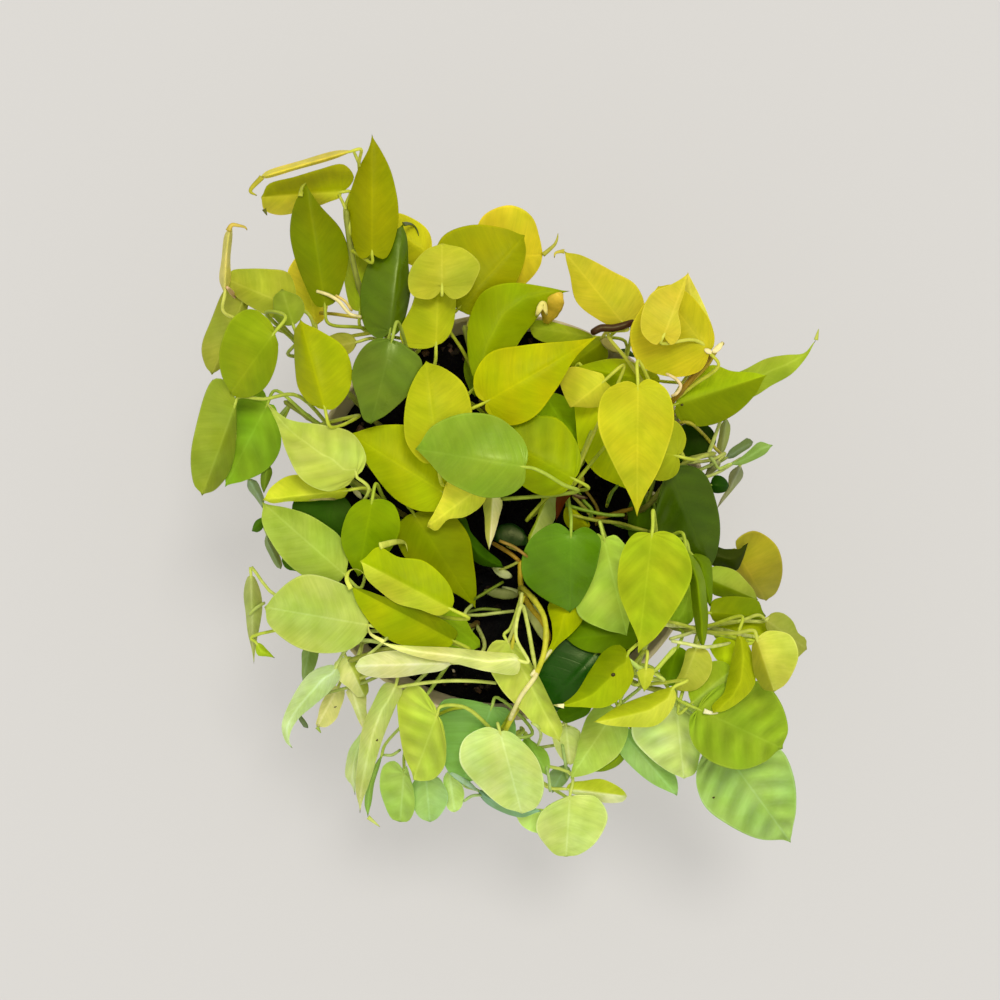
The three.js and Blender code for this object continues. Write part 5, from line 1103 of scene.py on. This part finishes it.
# Thin things that lie over the leaves, as seen from above. Owner (a vine, or a leaf of it);
# kind; half width in mm; tone; points. A drip starts at its leaf's tip.
STRIPS = [
    ["c1", "drip", 1.2, (70, 85, 15),
     "-50.3 146.4, -48 146.7, -45.5 146.1, -43.6 143.8, -42.6 140.6, -42 138.7"],
    ["a3", "drip", 1.3, (175, 185, 60), "-101.8 160.4, -100.8 165, -99 167"],
    ["a2", "drip", 1.1, (90, 95, 20), "-120 154, -118.5 150.8"],
    ["a1", "drip", 1.4, (170, 165, 40), "-121 170, -126.8 162.9, -123.6 160.7"],
    ["a5", "drip", 1.3, (190, 170, 70), "-138 143, -136 146, -132.6 145.7, -129.4 144.8, -128.4 143.4"],
    ["vine_left_top", "sheath", 1.2, (225, 190, 150), "-139 115.5, -136 112, -134 109"],
    ["b5", "drip", 1.2, (170, 170, 60), "19.4 131, 23 134, 25.5 136.5, 26.7 139.5, 27 141.8"],
    ["d2", "drip", 1.2, (190, 180, 60), "30.2 132.8, 28.6 132.8, 25.7 131.9, 25.1 129.6"],
    ["e3", "drip", 1.1, (180, 190, 80), "156 88.5, 157.3 94"],
    ["c2", "drip", 1.8, (215, 225, 100), "-62 -14.5, -53 -12.3, -49.5 -13, -48 -17.5"],
    ["l13", "drip", 1.3, (210, 220, 90), "-76.5 -36, -78.6 -31, -77.8 -27.5, -75 -26, -71.5 -27, -69 -29.5"],
    ["s1a", "drip", 1.1, (225, 230, 130), "-60 -62.5, -67 -58, -68 -53"],
    ["t1c", "drip", 1.2, (190, 205, 110), "-68 -150, -62 -155"],
    ["r2", "drip", 1.1, (160, 185, 90), "-93.5 -105, -91.5 -108"],
    ["j1", "drip", 1.2, (240, 235, 180), "30 -94.5, 24.5 -94"],
    ["x1", "strand", 0.9, (240, 235, 180), "24 -66, 20 -71, 16 -76, 13 -80"],
    ["m8", "drip", 1.3, (235, 235, 190), "100 -97, 104 -98, 108 -98"],
    ["vine_top_right", "sheath", 5.0, (225, 195, 60), "21 97, 23 103, 26 108, 29 112"],
    ["vine_top_right", "sheath", 1.8, (230, 220, 130), "16 100.5, 19.5 106.5, 21.5 101"],
    ["vine_top_right", "sheath", 2.6, (200, 190, 120), "48.5 89.2, 53 86, 58 82.5"],
    ["vine_top_right", "sheath", 1.8, (45, 80, 15), "55 80.2, 60 82.5, 66 80"],
    ["d2", "strand", 1.9, (60, 30, 15), "44.6 92.5, 48.5 94.4, 54.9 94.5, 64.5 97.2"],
    ["vine_top_right", "strand", 1.1, (170, 150, 40),
     "109.4 87, 106.2 83.5, 104.2 80.3, 102.3 77, 98.5 72.6, 93.3 67.4, 86.9 61"],
    ["e1", "sheath", 1.5, (240, 230, 170), "104 82, 107 84.5, 109.5 87.5"],
    ["e1", "sheath", 1.3, (240, 230, 170), "104 82, 102 83, 100 84"],
    ["vine_top_right", "strand", 0.8, (235, 215, 160),
     "81.2 71.6, 84.4 70, 87 68, 88.3 65.5, 86.5 62, 84 60.5"],
    ["vine_top_left", "strand", 0.9, (235, 225, 160),
     "-93.5 112.9, -87.7 111, -82.6 107.8, -79.4 104, -76.8 101.4, -71.7 100.1"],
    ["vine_top_left", "strand", 0.7, (220, 200, 110), "-84.5 111, -79.4 107.8, -76.2 103.3"],
    ["vine_top_left", "strand", 0.9, (200, 185, 60), "-92.8 102, -85 101.5, -78 100.5, -71 99.5"],
    ["vine_top_left", "strand", 0.8, (180, 190, 70), "-82.6 161.3, -80.3 156.5, -78 150, -76.8 140.5"],
    ["vine_top_left", "strand", 0.8, (180, 190, 70), "-75 182.5, -71.7 175"],
    ["vine_top_right", "strand", 0.9, (190, 190, 80), "54.2 95.3, 51 92.4, 48.5 88.6"],
    ["vine_mid_right", "sheath", 1.1, (240, 235, 190), "72 12.5, 75 11.5, 77 10"],
    ["vine_mid_right", "sheath", 1.1, (60, 28, 12), "33 12, 38 10, 42 9.5"],
    ["vine_front", "sheath", 2.4, (205, 215, 150), "4 -30, -1 -28, -6 -25"],
    ["vine_front", "sheath", 2.8, (120, 130, 70), "-10 -37, 0 -38.5, 8 -39"],
    ["vine_front", "sheath", 2.8, (190, 198, 115), "11 -42, 16 -52, 21 -63"],
    ["vine_left", "sheath", 1.6, (235, 230, 180), "-76 17, -74 13, -71 9"],
    ["vine_left", "sheath", 1.1, (170, 165, 100), "-83 9, -90 9.5, -98 8.5"],
    ["vine_front", "strand", 1.4, (218, 190, 45),
     "8 -22, 8.8 -36.5, 13 -44.8, 19.7 -53.2, 22.2 -59.8, 19.7 -68.2"],
    ["vine_front", "strand", 1.2, (230, 225, 160), "19.7 -68.2, 15.5 -79.8, 11 -86, 8 -90.5, 3 -101"],
    ["vine_front", "strand", 0.9, (210, 205, 60), "9.7 -39.8, 6.3 -51.5, 3.8 -66.5"],
    ["vine_front", "sheath", 2.4, (190, 200, 120), "14.5 -43, 16.5 -48, 18.5 -53"],
    ["vine_front", "strand", 1.1, (190, 150, 50), "-5.3 -13.2, 3 -18.2, 8 -22.3"],
    ["vine_front", "strand", 0.8, (150, 120, 50), "-2 -12, 5 -15, 12 -20"],
    ["vine_front", "sheath", 6.0, (30, 55, 8), "-5 -10, 3 -9, 12 -13"],
    ["vine_front", "sheath", 1.7, (170, 180, 120), "-1 -35, 7 -38, 15 -40"],
    ["vine_front", "strand", 0.8, (110, 130, 30), "-15.5 -41.5, -8 -37, -0.5 -32.5"],
    ["vine_front", "strand", 0.8, (120, 140, 50), "-20.5 -48, -11 -46, -2 -46.5"],
    ["vine_mid_right", "strand", 1.1, (150, 120, 30), "64.7 4.3, 58 2.5, 53 1, 44.7 -1.5"],
    ["vine_mid_right", "strand", 0.9, (180, 190, 60), "56.3 15.2, 53 11, 51.3 5.2"],
    ["vine_mid_right", "strand", 1.0, (165, 165, 60), "34.7 10.2, 41.3 3.5, 44.7 -0.7"],
    ["vine_mid_right", "strand", 0.9, (170, 180, 60), "73 -7.3, 66 -5.5, 58 -3.2, 44.7 -1.5, 31.3 1.8"],
    ["vine_mid_right", "strand", 0.8, (140, 120, 40), "40 14, 44 9, 47 3, 46 -4"],
    ["vine_front", "strand", 0.8, (195, 200, 90), "8 -17, 3 -15, -2 -12"],
    ["vine_front", "strand", 0.8, (170, 180, 70), "8 -22, 2 -25, -4 -27"],
    ["vine_front", "strand", 0.9, (200, 205, 110), "9 -38, 8 -46, 5 -55, 2 -63"],
    ["vine_mid_right", "strand", 0.9, (110, 140, 30), "36 14, 40 8, 44 3, 41 -3"],
    ["vine_mid_right", "strand", 0.9, (120, 150, 40), "31 6, 42 3, 52 1, 60 1"],
    ["vine_mid_right", "strand", 0.9, (120, 150, 40), "52 -2, 60 -5, 72 -7"],
    ["vine_mid_right", "strand", 0.8, (110, 140, 40), "57 16, 54 12, 52 7"],
    ["vine_mid_right", "strand", 0.8, (120, 150, 40), "74 10, 75 5, 74 0"],
    ["vine_mid_right", "sheath", 1.3, (210, 200, 70), "38 22, 39 18, 37 14"],
    ["vine_right_low", "strand", 0.9, (210, 220, 130), "80 -54, 87 -54.5, 95 -55"],
    ["m5", "strand", 0.9, (205, 215, 130), "83 -61, 90 -59, 96 -57"],
    ["vine_right_low", "strand", 0.9, (215, 225, 140), "84 -62, 92 -63.5, 100 -65, 114 -63"],
    ["vine_right_low", "strand", 0.9, (200, 210, 110), "102 -55, 110 -53, 120 -52, 130 -52, 132 -50.5"],
    ["vine_right_low", "strand", 0.9, (205, 215, 120), "102 -55, 112 -57, 120 -59, 128 -60"],
    ["vine_front_low_left", "strand", 0.9, (200, 215, 110), "-53 -85, -44 -83.5, -30 -82, -16 -82, -4 -83"],
    ["vine_front_low_left", "strand", 0.9, (190, 205, 110), "-16 -44, -19 -47, -20 -50"],
    ["vine_front_low_left", "strand", 0.9, (190, 205, 110), "-20 -49, -12 -49, -4 -48, 5 -47"],
    ["vine_front_low_left", "strand", 0.8, (190, 205, 110), "-58 -60, -63 -65, -68 -69"],
    ["vine_front", "strand", 0.8, (170, 200, 120), "29 -113, 30.5 -122, 31.5 -131"],
    ["vine_front", "strand", 0.8, (170, 200, 120), "21 -124, 22.5 -131, 23 -137"],
    ["vine_front", "strand", 0.8, (190, 210, 120), "14 -103, 17 -105, 18.5 -109, 17 -114"],
    ["vine_front_low_left", "strand", 0.8, (170, 195, 110), "-60 -119, -56 -119, -52 -116.5"],
    ["vine_front", "strand", 0.8, (170, 200, 130), "-20 -142, -16 -139.5, -11 -139"],
    ["vine_front", "sheath", 1.6, (160, 195, 160), "-28 -127, -20 -132, -13 -137"],
    ["e6", "strand", 0.9, (170, 165, 50), "88 47.5, 93 47, 100 41, 106 34, 110 30"],
    ["vine_left_low", "strand", 0.9, (185, 205, 110), "-127.5 -49, -124 -45.5, -120 -43"],
    ["vine_front_low_left", "strand", 0.9, (175, 190, 50), "-18 -95, -26 -96, -33.5 -99"],
    ["vine_front", "strand", 0.9, (175, 190, 50), "8 -92, 3 -99, -2 -107"],
]


def top_at(laid, at):
    """The highest blade over the rim that is seen at each point, or -inf."""
    top = np.full(len(at), -np.inf)
    for leaf in laid:
        high = leaf.points[:, 2] - POT_HEIGHT
        near = ((EYE_HEIGHT - high) / EYE_HEIGHT)[:, None]
        eye = np.array([EYE_X, EYE_Y])
        flat = eye + (leaf.points[:, :2] - eye) / near
        for a, b, c in leaf.triangles:
            one, two = flat[b] - flat[a], flat[c] - flat[a]
            area = one[0] * two[1] - one[1] * two[0]
            if abs(area) < 1e-6:
                continue
            off = at - flat[a]
            v = (off[:, 0] * two[1] - off[:, 1] * two[0]) / area
            w = (one[0] * off[:, 1] - one[1] * off[:, 0]) / area
            here = (v >= 0) & (w >= 0) & (v + w <= 1)
            z = high[a] + v * (high[b] - high[a]) + w * (high[c] - high[a])
            top = np.where(here, np.maximum(top, z), top)
    return top


def add_strip(shell, laid, strip):
    """A strip over the blades that are under it; its ends sink between them."""
    owner, kind, half, tone, line = strip
    grown = [leaf for leaf in laid if leaf.name == owner]
    held = listed(line)
    steps = int(np.linalg.norm(np.diff(held, axis=0), axis=1).sum() / STRIP_STEP) + 4
    flat = smooth(held, steps)
    top = top_at(laid, flat)
    if grown and kind == "drip":
        top[0] = grown[0].height + grown[0].rise
    known = np.flatnonzero(top > -np.inf)
    if not known.size:
        top[:] = grown[0].height if grown else UNDER_RIM
        known = np.arange(len(top))
    share = np.linspace(0, 1, len(flat))
    top = np.interp(share, share[known], top[known])
    for even in (np.max, np.mean):
        held = np.pad(top, REST, mode="edge")
        top = np.array([even(held[i:i + 2 * REST + 1]) for i in range(len(top))])
    round_one = kind == "strand"
    top += half * (0.9 if round_one else 0.3) + (0.1 if kind == "speck" else 0.5)
    sink = np.clip(1 - (1 - share) / SINK_SHARE, 0, 1)
    if kind in ("strand", "sheath"):
        sink += np.clip(1 - share / SINK_SHARE, 0, 1)
    if kind == "speck":
        sink[:] = 0
    path = seen(flat[:, 0], flat[:, 1], top - SINK * sink)
    widths = WIDTHS[kind]
    radii = half * np.interp(share, np.linspace(0, 1, len(widths)), widths)
    points, faces = tube(path, radii, ROUND_SIDES, 1.0 if round_one else FLAT)
    colour = paint(tone) * (1 + 0.08 * waves(len(line), flat, 12))[:, None]
    colour = np.clip(np.repeat(colour, ROUND_SIDES, axis=0), 0, 1)
    shell.add(points, faces, colour, NO_VEINS, 1)


# Materials.
def new_material(name):
    material = bpy.data.materials.new(name)
    material.use_nodes = True
    material.node_tree.nodes.clear()
    return material, material.node_tree


def put(tree, kind, values=None, **settings):
    """A shader node with its settings and its sockets' values or links."""
    made = tree.nodes.new("ShaderNode" + kind)
    for key, value in settings.items():
        setattr(made, key, value)
    for key, value in (values or {}).items():
        socket = made.inputs[key]
        if isinstance(value, bpy.types.NodeSocket):
            tree.links.new(value, socket)
        else:
            socket.default_value = value
    return made


def span(tree, value, low, high, out_low=0.0, out_high=1.0):
    """Maps a value from one range to another, smoothly and held to it."""
    made = put(tree, "MapRange", {
        "Value": value, "From Min": low, "From Max": high, "To Min": out_low, "To Max": out_high,
    }, interpolation_type="SMOOTHSTEP")
    return made.outputs["Result"]


def math_node(tree, kind, one, two=0.0):
    return put(tree, "Math", {0: one, 1: two}, operation=kind).outputs["Value"]


def mix(tree, factor, one, two, blend="MIX"):
    made = put(tree, "Mix", {0: factor, 6: one, 7: two}, data_type="RGBA", blend_type=blend)
    return made.outputs[2]


def tinted(tree, colour, tint):
    return mix(tree, 1.0, colour, tint, "MULTIPLY")


def noise(tree, scale, detail=3.0):
    place = put(tree, "TexCoord").outputs["Object"]
    return put(tree, "TexNoise", {"Vector": place, "Scale": scale, "Detail": detail}).outputs["Fac"]


def clouds(tree, scale, detail, out_low=0.0, out_high=1.0):
    """Soft patches between two values."""
    return span(tree, noise(tree, scale, detail), 0.3, 0.7, out_low, out_high)


def painted(tree, name, output):
    """What the pieces' vertices were painted with."""
    return put(tree, "Attribute", attribute_name=name).outputs[output]


def bumps(tree, strength, distance, height):
    values = {"Strength": strength, "Distance": distance, "Height": height}
    return put(tree, "Bump", values).outputs["Normal"]


def let_through(tree, skin, colour, share):
    """The surface, with a share of the light passing through it in a colour."""
    through = put(tree, "BsdfTranslucent", {"Color": colour})
    return put(tree, "MixShader", {0: share, 1: skin.outputs[0], 2: through.outputs[0]})


def leaf_material(name, ior, low, high, tint):
    material, tree = new_material(name)
    parts = put(tree, "SeparateXYZ", {"Vector": painted(tree, "vein", "Vector")}).outputs
    share, count, middle = parts["X"], parts["Y"], parts["Z"]
    shade = mix(tree, clouds(tree, 85.0, 5.0), (0.92, 0.95, 0.75, 1), (1.06, 1.05, 1.15, 1))
    base = tinted(tree, painted(tree, "tone", "Color"), shade)
    streaks = put(tree, "VectorMath", {
        0: put(tree, "CombineXYZ", {
            "X": math_node(tree, "MULTIPLY", share, 2.2),
            "Y": math_node(tree, "MULTIPLY", count, 5.0),
        }).outputs["Vector"],
        1: put(tree, "VectorMath", {
            0: put(tree, "TexCoord").outputs["Object"], 1: (60.0, 60.0, 60.0),
        }, operation="MULTIPLY").outputs["Vector"],
    }, operation="ADD").outputs["Vector"]
    streaks = put(tree, "TexNoise", {"Vector": streaks, "Scale": 1.0, "Detail": 3.0})
    streaks = span(tree, streaks.outputs["Fac"], 0.3, 0.7)
    base = tinted(tree, base, mix(tree, streaks, (0.95, 0.965, 0.9, 1), (1.04, 1.03, 1.05, 1)))
    rib = span(tree, middle, 0.2, 0.8, 1.0, 0.0)
    wave = math_node(tree, "SUBTRACT", math_node(tree, "FRACT", count), 0.5)
    side = span(tree, math_node(tree, "ABSOLUTE", wave), 0.42, 0.5)
    side = math_node(tree, "MULTIPLY", side, span(tree, share, 0.5, 0.95, 1.0, 0.0))
    fibre = span(tree, noise(tree, 120.0), 0.35, 0.65, 0.2, 1.0)
    side = math_node(tree, "MULTIPLY", side, fibre)
    pale = tinted(tree, base, (1.18, 1.15, 1.6, 1))
    base = mix(tree, math_node(tree, "MULTIPLY", side, 0.28), base, pale)
    base = mix(tree, math_node(tree, "MULTIPLY", rib, 0.6), base, pale)
    # Painted highlight: the blade's outer edge is painted paler and bluer, as light catching the margin.
    rim_highlight = tinted(tree, base, (1.3, 1.25, 1.9, 1))
    base = mix(tree, span(tree, share, 0.945, 0.985, 0.0, 0.8), base, rim_highlight)
    grain = math_node(tree, "MULTIPLY", noise(tree, 1500.0, 2.0), 0.3)
    soft = math_node(tree, "MULTIPLY", noise(tree, 110.0, 2.0), 1.5)
    height = math_node(tree, "ADD", grain, soft)
    height = math_node(tree, "SUBTRACT", height, math_node(tree, "MULTIPLY", side, 0.25))
    skin = put(tree, "BsdfPrincipled", {
        "Base Color": base, "Roughness": clouds(tree, 95.0, 3.0, low, high),
        "Normal": bumps(tree, 0.3, 0.0004, height), "IOR": ior, "Specular Tint": tint,
    })
    blade = let_through(tree, skin, tinted(tree, base, (1.1, 1.1, 0.7, 1)), 0.3)
    put(tree, "OutputMaterial", {"Surface": blade.outputs[0]})
    return material


def stalk_material():
    material, tree = new_material("stalk")
    shade = mix(tree, clouds(tree, 240.0, 3.0), (0.85, 0.88, 0.7, 1), (1.1, 1.08, 1.15, 1))
    base = tinted(tree, painted(tree, "tone", "Color"), shade)
    skin = put(tree, "BsdfPrincipled", {
        "Base Color": base, "Roughness": 0.42, "Specular Tint": (1, 1, 0.4, 1),
        "Normal": bumps(tree, 0.4, 0.0003, noise(tree, 900.0, 2.0)),
    })
    stalk = let_through(tree, skin, base, 0.15)
    put(tree, "OutputMaterial", {"Surface": stalk.outputs[0]})
    return material


def pot_material():
    material, tree = new_material("pot_plastic")
    place = put(tree, "TexCoord").outputs["Object"]
    height = put(tree, "SeparateXYZ", {"Vector": place}).outputs["Z"]
    base = mix(tree, clouds(tree, 14.0, 4.0), (0.58, 0.47, 0.26, 1), (0.66, 0.55, 0.33, 1))
    speck = span(tree, noise(tree, 260.0), 0.68, 0.74)
    low = span(tree, height, 0.0, 0.03, 1.0, 0.0)
    dirt = math_node(tree, "MULTIPLY", speck, math_node(tree, "ADD", low, 0.15))
    base = mix(tree, math_node(tree, "MULTIPLY", dirt, 0.5), base, (0.20, 0.14, 0.08, 1))
    skin = put(tree, "BsdfPrincipled", {
        "Base Color": base, "Roughness": clouds(tree, 40.0, 3.0, 0.45, 0.6),
        "Normal": bumps(tree, 0.25, 0.0005, noise(tree, 520.0)),
    })
    put(tree, "OutputMaterial", {"Surface": skin.outputs[0]})
    return material


def soil_material():
    material, tree = new_material("soil_crumb")
    shade = mix(tree, clouds(tree, 420.0, 5.0), (0.45, 0.42, 0.38, 1), (1.5, 1.45, 1.35, 1))
    skin = put(tree, "BsdfPrincipled", {
        "Base Color": tinted(tree, painted(tree, "tone", "Color"), shade), "Roughness": 0.92,
        "Normal": bumps(tree, 0.9, 0.0012, noise(tree, 800.0, 6.0)), "Specular IOR Level": 0.1,
    })
    put(tree, "OutputMaterial", {"Surface": skin.outputs[0]})
    return material


def floor_material():
    """The stage's floor; it gives off a little light, so its shade stays soft and pale."""
    material, tree = new_material("floor")
    skin = put(tree, "BsdfPrincipled", {
        "Base Color": (0.266, 0.259, 0.251, 1), "Roughness": 0.95, "Specular IOR Level": 0.0,
        "Emission Color": (1.0, 0.972, 0.925, 1), "Emission Strength": 0.355,
    })
    put(tree, "OutputMaterial", {"Surface": skin.outputs[0]})
    return material


def wall_radius(z):
    return BASE_RADIUS + (RIM_RADIUS - BASE_RADIUS) * z / POT_HEIGHT - WALL


def turned(profile, sides):
    """A closed lathe about the pot's axis; the profile's ends are on the axis."""
    points = [[0, 0, profile[0][1]]]
    turn = 2 * math.pi * np.arange(sides) / sides
    for r, z in profile[1:-1]:
        points += np.stack([r * np.cos(turn), r * np.sin(turn), np.full(sides, z)], 1).tolist()
    points.append([0, 0, profile[-1][1]])
    faces = []
    rings = len(profile) - 2
    for j in range(sides):
        k = (j + 1) % sides
        faces.append([0, 1 + k, 1 + j])
        for i in range(rings - 1):
            here = 1 + i * sides
            there = here + sides
            faces.append([here + j, here + k, there + k, there + j])
        end = 1 + (rings - 1) * sides
        faces.append([end + j, end + k, len(points) - 1])
    return np.array(points, float), faces


def arc(centre, radius, start, stop, steps):
    turn = np.radians(np.linspace(start, stop, steps))
    return [[centre[0] + radius * math.cos(a), centre[1] + radius * math.sin(a)] for a in turn]


def make_pot():
    lip = 1.15  # radius of the rounded rim
    recess = 1.2  # the base stands clear of the ground by this inside its foot
    foot = 2.2  # radius of the outer edge of the base
    inner = wall_radius(POT_HEIGHT)
    middle = (RIM_RADIUS - 0.05 + inner) / 2
    profile = [[0, recess], [BASE_RADIUS - 12, recess]]
    profile += arc((BASE_RADIUS - 9, recess), recess, 180, 270, 5)
    profile += arc((BASE_RADIUS - foot, foot), foot, 270, 350, 7)
    for z in np.linspace(12, POT_HEIGHT - 6, 12):
        profile.append([wall_radius(z) + WALL, z])
    profile += arc((middle, POT_HEIGHT - lip), lip + 0.1, 0, 180, 9)
    profile += [[wall_radius(POT_HEIGHT - 4), POT_HEIGHT - 4], [wall_radius(GROUND), GROUND]]
    profile += [[wall_radius(60), 60], [wall_radius(FLOOR + 1), FLOOR + 1]]
    profile += [[wall_radius(FLOOR) - 3, FLOOR], [0, FLOOR]]
    points, faces = turned(profile, 128)
    shell = Shell()
    shell.add(points, faces, (0.8, 0.74, 0.6), (0, 0, 0))
    return shell.piece("pot_shell", [pot_material()])


# The soil and its darkest crumbs are near black: the peat's own dark colour, darkened further as painted
# shade under the leaves.
CRUMBS = [  # tone; size in mm; number
    [(13, 9, 6), 1.4, 420], [(24, 16, 10), 1.7, 130], [(8, 6, 4), 1.5, 260], [(50, 45, 38), 1.0, 24],
]
SHADED_SOIL_TONE = (8, 6, 4)
LIT_FROM = 82  # crumbs further out than this lie in the open light
LIT = 14  # and are this much brighter


def make_soil():
    """The soil's crumbly top, its sides against the wall, and loose crumbs."""
    rng = np.random.default_rng(11)
    shell = Shell()
    top_radius = wall_radius(GROUND - 2) - FIT
    sides = 120
    rings = 46
    profile = [[0, FLOOR + FIT], [wall_radius(FLOOR) - FIT, FLOOR + FIT]]
    profile += [[top_radius, GROUND - 2]]
    profile += [[top_radius * (1 - k / rings), GROUND - 1.2] for k in range(1, rings)]
    profile += [[0, GROUND - 0.5]]
    points, faces = turned(profile, sides)
    top = points[:, 2] > GROUND - 1.5
    where = points[top, :2]
    lump = waves(5, where, 30) + 0.8 * waves(6, where, 9) + 0.7 * waves(7, where, 5)
    points[top, 2] += 0.9 * lump + rng.normal(0, 0.35, top.sum())
    points[top, 2] = np.minimum(points[top, 2], GROUND + 2.5)
    # Near-black soil: its own dark colour with painted shade under the leaves.
    tones = linear(SHADED_SOIL_TONE) * (1 + 0.25 * waves(8, points[:, :2], 14))[:, None]
    shell.add(points, faces, np.clip(tones, 0.002, 1), (0, 0, 0))
    box = np.array([[x, y, z] for z in (-1, 1) for y in (-1, 1) for x in (-1, 1)], float)
    sides_of = [[0, 2, 3, 1], [4, 5, 7, 6], [0, 1, 5, 4], [2, 6, 7, 3], [0, 4, 6, 2], [1, 3, 7, 5]]
    for tone, size, number in CRUMBS:
        for _ in range(number):
            r = (top_radius - 3) * math.sqrt(rng.uniform())
            a = rng.uniform(0, 2 * math.pi)
            form = box * rng.uniform(0.55, 1.25, 3) * size * rng.uniform(0.7, 1.3, (8, 1))
            spin, _ = np.linalg.qr(rng.normal(size=(3, 3)))
            if np.linalg.det(spin) < 0:
                spin[0] *= -1
            at = [r * math.cos(a), r * math.sin(a), GROUND + rng.uniform(-0.6, 1.0)]
            colour = linear(tone) * rng.uniform(0.7, 1.3) * (LIT if r > LIT_FROM else 1)
            shell.add(form @ spin.T * 0.8 + at, sides_of, colour, (0, 0, 0))
    return shell.piece("soil_bed", [soil_material()])


def make_vines():
    laid = lay_leaves()
    route_stalks(laid)
    vine_of = {leaf.name: leaf.vine for leaf in laid}
    materials = [
        leaf_material("leaf_satin", 1.24, 0.36, 0.46, (1, 1, 0.3, 1)), stalk_material(),
        leaf_material("leaf_glossy", 1.42, 0.24, 0.34, (0.9, 1, 0.45, 1)),
    ]
    for name in VINES:
        shell = Shell()
        for one in laid:
            if one.vine == name:
                add_blade(shell, one)
                add_stalk(shell, one)
        add_stem(shell, name)
        for strip in STRIPS:
            if vine_of.get(strip[0], strip[0]) == name:
                add_strip(shell, laid, strip)
        for owner, half, spot in SPECKS:
            if owner == name:
                x, y = listed(spot)[0]
                line = f"{x - half} {y}, {x + half} {y + 0.3}"
                add_strip(shell, laid, [owner, "speck", half, SPECK_TONE, line])
        piece = shell.piece(name + "_leaves", materials)
        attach(piece, "root")
        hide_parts(name)


def make_stage():
    bpy.ops.mesh.primitive_plane_add(size=8, location=(0, 0, 0))
    floor = bpy.context.object
    floor.name = "floor"
    floor.data.materials.append(floor_material())


def make_light():
    world = bpy.data.worlds.new("studio")
    bpy.context.scene.world = world
    world.use_nodes = True
    back = world.node_tree.nodes["Background"]
    back.inputs["Color"].default_value = (0.98, 0.975, 0.95, 1)
    back.inputs["Strength"].default_value = 1.0
    data = bpy.data.lights.new("key", "SUN")
    data.energy = 1.5
    data.color = (1.0, 0.985, 0.95)
    data.angle = math.radians(16)
    key = bpy.data.objects.new("key", data)
    bpy.context.scene.collection.objects.link(key)
    heading = Vector((-0.12, -0.34, -1)).normalized()
    key.rotation_euler = heading.to_track_quat("-Z", "Y").to_euler()
    key.location = Vector((0, 0, 0.2)) - heading * 2.0


def make_camera():
    data = bpy.data.cameras.new("camera")
    data.sensor_width = SENSOR_MM
    data.lens = LENS_MM
    data.clip_start = 0.05
    data.clip_end = 20
    camera = bpy.data.objects.new("camera", data)
    camera.location = (EYE_X * MM, EYE_Y * MM, (POT_HEIGHT + EYE_HEIGHT) * MM)
    bpy.context.scene.collection.objects.link(camera)
    bpy.context.scene.camera = camera


make_camera()
make_light()
make_stage()
for piece, node in ((make_pot(), "pot"), (make_soil(), "soil")):
    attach(piece, "root")
    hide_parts(node)
make_vines()
bpy.context.scene.view_settings.view_transform = "Standard"
